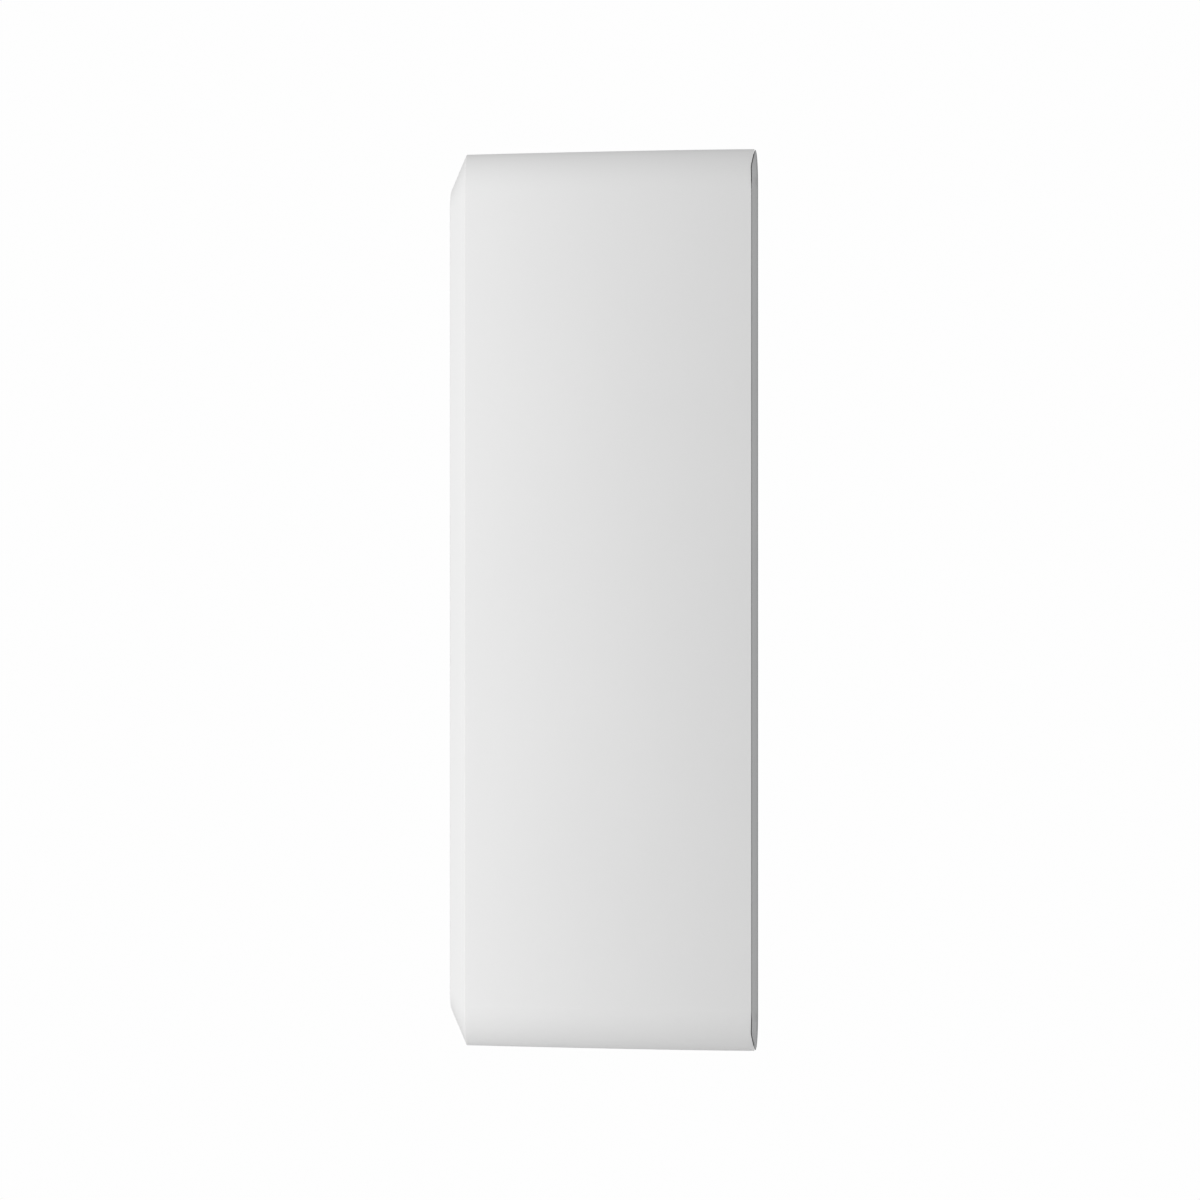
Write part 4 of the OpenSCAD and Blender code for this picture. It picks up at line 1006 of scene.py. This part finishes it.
def makePort():
    # a drawn shell, closed at its inner end, and contact strips on both faces of the tongue
    look = {"size": (9, 3.2, 1.5), "soft": 0.15, "wall": 0.3, "end": 0.4, "strip": (0.25, 0.06, 0.02),
            "stripHalf": 2.75, "stripCount": 12, "stripIn": 0.5, "stripOut": 0.3, "stripSoft": 0.01}
    low, high = span("usb_port")
    mouth, top = low[2], high[2]
    floor = top - look["end"]
    port = Shell()
    first, last = port.tube((*look["size"], *portAt[:2]),
                            [(look["soft"], top), (0, top), (0, mouth), (look["wall"], mouth),
                             (look["wall"], floor)],
                            [look["soft"], 0.12, 0.12], lower)
    port.cap(first, (), top, lower)
    port.cap(last, (), floor, lower)
    makePiece("port_shell", port, "camera_unit", "can_metal", ["usb_port"])
    low, high = span("usb_tongue")
    levels = (low[2] + look["stripIn"], high[2] - look["stripOut"])
    strips = Shell()
    for depth in (low[1], high[1]):
        for x in np.linspace(-look["stripHalf"], look["stripHalf"], look["stripCount"]):
            strips.plate((*look["strip"], x, depth), levels, [look["stripSoft"]] * 2, (), lower, 1)
    makePiece("port_contacts", strips, "camera_unit", "gold", [])


makeDoor()
makeReset()
makePort()
print("lower end made")


# The back: cover, wall plate, springs and screws.
terminalX = 7.5              # each terminal screw, from the middle

def makeCover():
    # a plate with a sunk box for the terminals, counterbored screw holes, and two pegs for the port's board
    look = {"radius": 4.3, "plateT": 2.0, "backSoft": 0.25, "faceSoft": 0.15, "boxT": 1.6,
            "recess": (30, 13, 1.0), "recessSoft": 0.35, "box": (33.2, 16.2, 2.6), "boxSoft": 0.3,
            "innerSoft": 0.2, "stud": 1.6, "head": 2.2, "headDeep": 1.2, "step": 1.0, "boreSoft": 0.2,
            "pegX": 10.5, "pegDrop": 2.5, "peg": 2.0, "pin": 0.9, "pinLong": 4.5, "pegSunk": 0.5}
    low, high = span("rear_cover")
    back, boxTop = low[1], high[1]
    face = back + look["plateT"]
    recessFloor = boxTop - look["boxT"]
    wireZ = middle("terminal_block")[2]
    width, height = (high - low)[[0, 2]]
    soft, faceSoft, innerSoft = look["backSoft"], look["faceSoft"], look["innerSoft"]
    cover = Shell()
    first, last = cover.tube((width, height, look["radius"], 0, 0),
                             [(soft, back), (0, back), (0, face), (faceSoft, face)], [soft, faceSoft])
    mouth = cover.tube((*look["recess"], 0, wireZ),
                       [(-look["recessSoft"], back), (0, back), (0, recessFloor), (innerSoft, recessFloor)],
                       [look["recessSoft"], innerSoft])
    box = cover.tube((*look["box"], 0, wireZ),
                     [(-soft, face), (0, face), (0, boxTop), (look["boxSoft"], boxTop)],
                     [soft, look["boxSoft"]])
    studs = [cover.tube(circle(look["stud"], side * terminalX, wireZ), [(0, recessFloor), (0, boxTop)])
             for side in (-1, 1)]
    deep, step = back + look["headDeep"], look["step"]
    bores = [cover.tube(circle(look["head"], x, z),
                        [(-look["boreSoft"], back), (0, back), (0, deep), (step, deep), (step, face)],
                        [look["boreSoft"]])
             for x, z in corners4(coverX, coverZ)]
    cover.cap(first, [mouth[0]] + [bore[0] for bore in bores], back)
    cover.cap(last, [box[0]] + [bore[1] for bore in bores], face)
    cover.cap(mouth[1], [stud[0] for stud in studs], recessFloor)
    cover.cap(box[1], [stud[1] for stud in studs], boxTop)
    boardLow, boardHigh = span("usb_board")
    seat = boardLow[1]
    root, tip = face - look["pegSunk"], seat - look["pinLong"]
    for side in (-1, 1):
        cover.turned((side * look["pegX"], boardHigh[2] - look["pegDrop"]),
                     [(0, root), (look["peg"], root), (look["peg"], seat), (look["pin"], seat),
                      (look["pin"], tip), (0, tip)], [0.01, 0.15, 0.1], steps=8)
    makePiece("rear_cover_moulded", cover, "camera_unit", "cover_plastic", ["rear_cover"])


def notchedLoop(width, height, radius, notch, inset):
    # a rounded rectangle with a square notch in the middle of its top and bottom
    loop = roundLoop(width - 2 * inset, height - 2 * inset, radius - inset)
    half, deep = notch[0] / 2 + inset, height / 2 - notch[1] - inset
    edge = height / 2 - inset
    cut = np.array([(half, edge), (half, deep), (-half, deep), (-half, edge)])
    quarter = len(loop) // 4
    return np.concatenate([loop[:quarter], cut, loop[quarter:3 * quarter], -cut, loop[3 * quarter:]])


def makeWallPlate():
    # a thin flange that follows the housing's rim, with a raised core that fills the housing's pocket
    plate = {"radius": 6.0, "core": (54.76, 111.96, 4.1), "notch": (26.0, 2.1), "edge": 0.3,
             "gap": 0.006, "endGap": 0.10, "gapStart": 52.8, "gapRun": 0.6, "wallEdge": 0.10,
             "frontEdge": 0.012, "cable": (26.0, 13.0, 2.0), "cableZ": -30.5, "screwMid": -6.0,
             "screwSpacing": 80.0, "hole": 2.1, "head": 4.2, "headDeep": 1.4, "holeSoft": 0.2}
    low, high = span("wall_plate")
    size = (high - low)[[0, 2]]
    front = high[1]

    def flangeDepth(z):
        # the flange follows the housing's rim, and the gap between them opens a little towards both ends
        opening = np.clip((np.abs(z) - plate["gapStart"]) / plate["gapRun"], 0, 1)
        return np.maximum(rimDepth(z) - plate["gap"] - plate["endGap"] * opening, 0.02)

    shell = Shell()
    rings = []
    for soft, share in ((plate["wallEdge"], 0.0), (0, 0.2), (0, 0.95), (plate["frontEdge"], 1.0)):
        loop = roundLoop(size[0] - 2 * soft, size[1] - 2 * soft, plate["radius"] - soft)
        rings.append(frontal(loop, flangeDepth(loop[:, 1]) * share))
    shell.wall(rings)
    backLoop, topLoop = (ring[:, [0, 2]] for ring in (rings[0], rings[-1]))
    path = softPath([(0, 1.0), (0, front), (plate["edge"] * 1.01, front)], [plate["edge"]])
    coreLoops = [notchedLoop(*plate["core"], plate["notch"], inset) for inset in path[:, 0]]
    foot = coreLoops[0]
    levels = [flangeDepth(foot[:, 1]), *path[1:, 1]]
    shell.wall([frontal(loop, level) for loop, level in zip(coreLoops, levels)])

    # points across the flange where it turns towards the wall, so that its face folds there
    kink = halfH - housing["flare"]
    line = np.column_stack([np.linspace(-20, 20, 21), np.full(21, kink)])
    line = line[~insideOf(line, foot)]
    shell.cap(topLoop, [foot], lambda p: flangeDepth(p[:, 1]), frontal, np.concatenate([line, -line]))
    window = shell.tube((*plate["cable"], 0, plate["cableZ"]),
                        [(-0.3, front), (0, front), (0, 0), (-0.15, 0)], [0.3, 0.15])
    deep = front - plate["headDeep"]
    step = plate["head"] - plate["hole"]
    holes = []
    for side in (-1, 1):
        z = plate["screwMid"] + side * plate["screwSpacing"] / 2
        holes.append(shell.tube(circle(plate["head"], 0, z),
                                [(-plate["holeSoft"], front), (0, front), (0, deep), (step, deep), (step, 0),
                                 (step - 0.1, 0)], [plate["holeSoft"], 0.15, 0.1, 0.1]))
    shell.cap(coreLoops[-1], [window[0]] + [hole[0] for hole in holes], front)
    shell.cap(backLoop, [window[1]] + [hole[1] for hole in holes], 0.0)
    makePiece("wall_plate_moulded", shell, "wall_mount", "grey_plastic", ["wall_plate"])


def makeSprings():
    # a flat strip with rounded edges, bent to an arc: the section is carried along the arc and
    # turned square to it
    strip = {"thick": 0.4, "bow": 2.4, "soft": 0.15, "endGap": 0.05, "steps": 49}
    low, high = span("catch_springs")
    thick, bow = strip["thick"], strip["bow"]
    half = high[0]
    radius = (half ** 2 + bow ** 2) / (2 * bow) - thick / 2
    top = high[2] - thick / 2
    turn = np.linspace(-1, 1, strip["steps"]) * math.asin((half - strip["endGap"]) / (radius + thick / 2))
    section = roundLoop(thick, high[1] - low[1], strip["soft"], (0, (low[1] + high[1]) / 2), 3)
    out = np.stack([np.sin(turn), np.cos(turn)], -1)          # outwards from the arc's centre
    reach = radius + section[:, 0]
    x = out[:, None, 0] * reach
    z = top - radius + out[:, None, 1] * reach
    depth = np.broadcast_to(section[:, 1], x.shape)
    shell = Shell()
    for side in (-1, 1):
        loops = np.stack([x, -depth, side * z], -1)
        ends = [np.broadcast_to(loop.mean(axis=0), loop.shape) for loop in (loops[0], loops[-1])]
        shell.wall(np.concatenate([[ends[0]], loops, [ends[1]]]))
    makePiece("catch_springs_bent", shell, "wall_mount", "spring_steel", ["catch_springs"], 45)


screwShape = {
    "armHalf": 0.16, "armLong": 0.68,        # the cross, as shares of the head's radius
    "crossDeep": 0.55, "crossMost": 0.8, "crossTaper": 0.72,
    "topFlat": 0.86, "crown": 0.3,           # how the head's top rounds off
    "pitch": 0.8, "root": 0.78,              # the thread, as shares of the shank's radius
    "around": 32, "rowsPerTurn": 8,
}


def addScrew(shell, at, head, headT, shank, length, start):
    # a pan-head screw: the head nearer the wall with a cross recess, the shank towards the front;
    # the thread is a radius that rises and falls with the turn and the distance along the shank
    x, z = at
    under = start + headT
    arm, reach = head * screwShape["armHalf"], head * screwShape["armLong"]
    quarter = np.array([(reach, -arm), (reach, arm), (arm, arm)])
    cross = np.concatenate([quarter @ [[c, s], [-s, c]] for c, s in ((1, 0), (0, 1), (-1, 0), (0, -1))])
    path = softPath([(head * screwShape["topFlat"], start + 0.001),
                     (head, start + screwShape["crown"] * headT),
                     (head, under), (shank, under)], [head * 0.1, 0.08])
    loops = [roundLoop(2 * r, 2 * r, r, at, 10) for r in path[:-1, 0]]
    pitch = shank * screwShape["pitch"]
    count = max(int(length / pitch * screwShape["rowsPerTurn"]), 16)
    along = np.linspace(0, length, count)[:, None]
    around = np.arange(screwShape["around"]) * 2 * math.pi / screwShape["around"]
    phase = (along / pitch - around / (2 * math.pi)) % 1
    ridge = 1 - np.abs(2 * phase - 1)
    fade = np.clip(np.minimum(along, length - along) / pitch, 0, 1)
    point = np.clip((length - along) / (0.6 * shank) + 0.35, 0, 1)
    root = screwShape["root"]
    r = shank * (root + (1 - root) * ridge * fade) * point
    thread = np.stack([x + r * np.cos(around), np.broadcast_to(-(under + along), r.shape),
                       z + r * np.sin(around)], -1)
    tip = np.broadcast_to([x, -(under + length), z], thread[-1].shape)
    shell.wall([frontal(loop, level) for loop, level in zip(loops, path[:, 1])])
    shell.cap(loops[-1], [thread[0][:, [0, 2]]], under)
    shell.wall(np.concatenate([thread, [tip]]))
    deep = start + min(screwShape["crossDeep"] * headT, screwShape["crossMost"])
    floor = cross * screwShape["crossTaper"] + at
    shell.cap(loops[0], [cross + at], start)
    shell.wall([frontal(cross + at, start), frontal(floor, deep)])
    shell.cap(floor, (), deep)


def makeScrews():
    cover = {"head": 2.0, "headT": 1.2, "shank": 1.05}
    wire = {"head": 2.9, "headT": 1.6, "shank": 1.45}
    clamp = {"size": (7, 7, 0.4), "thick": 0.6, "bore": 1.4, "soft": (0.08, 0.08)}    # under each wire screw
    low, high = span("cover_screws")
    shell = Shell()
    for at in corners4(coverX, coverZ):
        addScrew(shell, at, *cover.values(), high[1] - low[1] - cover["headT"], low[1])
    makePiece("cover_screws_turned", shell, "camera_unit", "steel", ["cover_screws"], 35)
    low, high = span("terminal_screws")
    under = low[1] + wire["headT"]
    top = under + clamp["thick"]
    z = middle("terminal_screws")[2]
    terminals = Shell()
    for x in (-terminalX, terminalX):
        addScrew(terminals, (x, z), *wire.values(), high[1] - under, low[1])
        bore = (circle(clamp["bore"], x, z), [(0, top), (0, under)], ())
        terminals.plate((*clamp["size"], x, z), (under, top), clamp["soft"], [bore], steps=4)
    makePiece("terminal_screws_turned", terminals, "camera_unit", "gold", ["terminal_screws"], 35)


makeCover()
makeWallPlate()
makeSprings()
makeScrews()
print("back made")


# Camera, floor and light.
studio = {
    "distance": 0.3064, "aimDepth": 0.0202, "lens": 72.0, "sensor": 36.0,
    "floorDrop": 0.225, "floorHalf": 0.50, "floorFade": 0.30,
    "lampAt": (0.11, -0.115, 0.0), "lampAim": (0.03, -0.03, 0.0),
    "lampSize": (0.05, 0.40), "lampPower": 0.205,
    "skyBase": 0.257, "skySide": 0.087, "skyHigh": 0.207, "paper": 0.99,
}


def makeCamera(scene):
    camera = bpy.data.objects.new("camera", bpy.data.cameras.new("camera"))
    scene.collection.objects.link(camera)
    camera.data.lens = studio["lens"]
    camera.data.sensor_width = studio["sensor"]
    camera.data.clip_start = 0.01
    camera.location = (halfW / metre + studio["distance"], -studio["aimDepth"], 0.0)
    camera.rotation_euler = (math.pi / 2, 0, math.pi / 2)
    scene.camera = camera


def makeFloor(scene):
    # a round sheet of paper that fades out towards its rim and doesn't hide the object from below
    rings = np.linspace(studio["floorHalf"], 0, 9)
    turn = np.arange(64) * 2 * math.pi / 64
    points = np.stack([rings[:, None] * np.cos(turn), rings[:, None] * np.sin(turn),
                       np.full((9, 64), -studio["floorDrop"])], -1)
    shell = Shell()
    shell.wall(points)
    floor = bpy.data.objects.new("floor", bpy.data.meshes.new("floor"))
    scene.collection.objects.link(floor)
    floor.data.from_pydata(np.concatenate(shell.points).tolist(), [], shell.faces)
    recipe = Recipe(bpy.data.materials.new("floor_paper"))
    fibre = recipe.noise(0.002, 4, 0.6)
    x, y, z = recipe.axes()
    out = recipe.maths("SQRT", x * x + y * y)
    below = recipe.add("NewGeometry", {}, {}, "Backfacing")
    fade = (1 - recipe.between(out, studio["floorFade"], studio["floorHalf"] * 0.97)) * (1 - below)
    tone = recipe.mix(recipe.between(fibre, 0.3, 0.7), (0.88, 0.88, 0.88), (0.91, 0.91, 0.91))
    floor.data.materials.append(recipe.finish(BaseColor=tone, Roughness=0.8 + fibre * 0.1, Alpha=fade,
                                              Normal=recipe.bump(fibre, 0.2, 0.0001)))


def makeSoftbox(scene):
    lamp = bpy.data.lights.new("softbox_side", "AREA")
    lamp.shape = "RECTANGLE"
    lamp.size, lamp.size_y = studio["lampSize"]
    lamp.energy = studio["lampPower"]
    box = bpy.data.objects.new("softbox_side", lamp)
    scene.collection.objects.link(box)
    box.location = studio["lampAt"]
    aim = Vector(studio["lampAim"]) - box.location
    box.rotation_euler = aim.to_track_quat("-Z", "Y").to_euler()
    box.visible_camera = False


def makeSky(scene):
    # even white where the camera looks past the object; elsewhere a soft dome of light that grows
    # towards +X and towards straight up and down
    scene.world = bpy.data.worlds.new("studio")
    sky = Recipe(scene.world, "Generated")
    x, y, z = sky.axes()
    strength = studio["skyBase"] + (1 + x) * studio["skySide"] + sky.maths("ABSOLUTE", z) * studio["skyHigh"]
    direct = sky.add("LightPath", {}, {}, "Is Camera Ray")
    light = sky.add("Background", {}, {"Color": (1, 1, 1, 1), "Strength": strength})
    paper = sky.add("Background", {}, {"Color": (1, 1, 1, 1), "Strength": studio["paper"]})
    both = sky.add("MixShader", {}, {0: direct, 1: light, 2: paper})
    sky.add("OutputWorld", {}, {"Surface": both})


scene = bpy.context.scene
scene.view_settings.view_transform = "Standard"
makeCamera(scene)
makeFloor(scene)
makeSoftbox(scene)
makeSky(scene)
print("studio made")
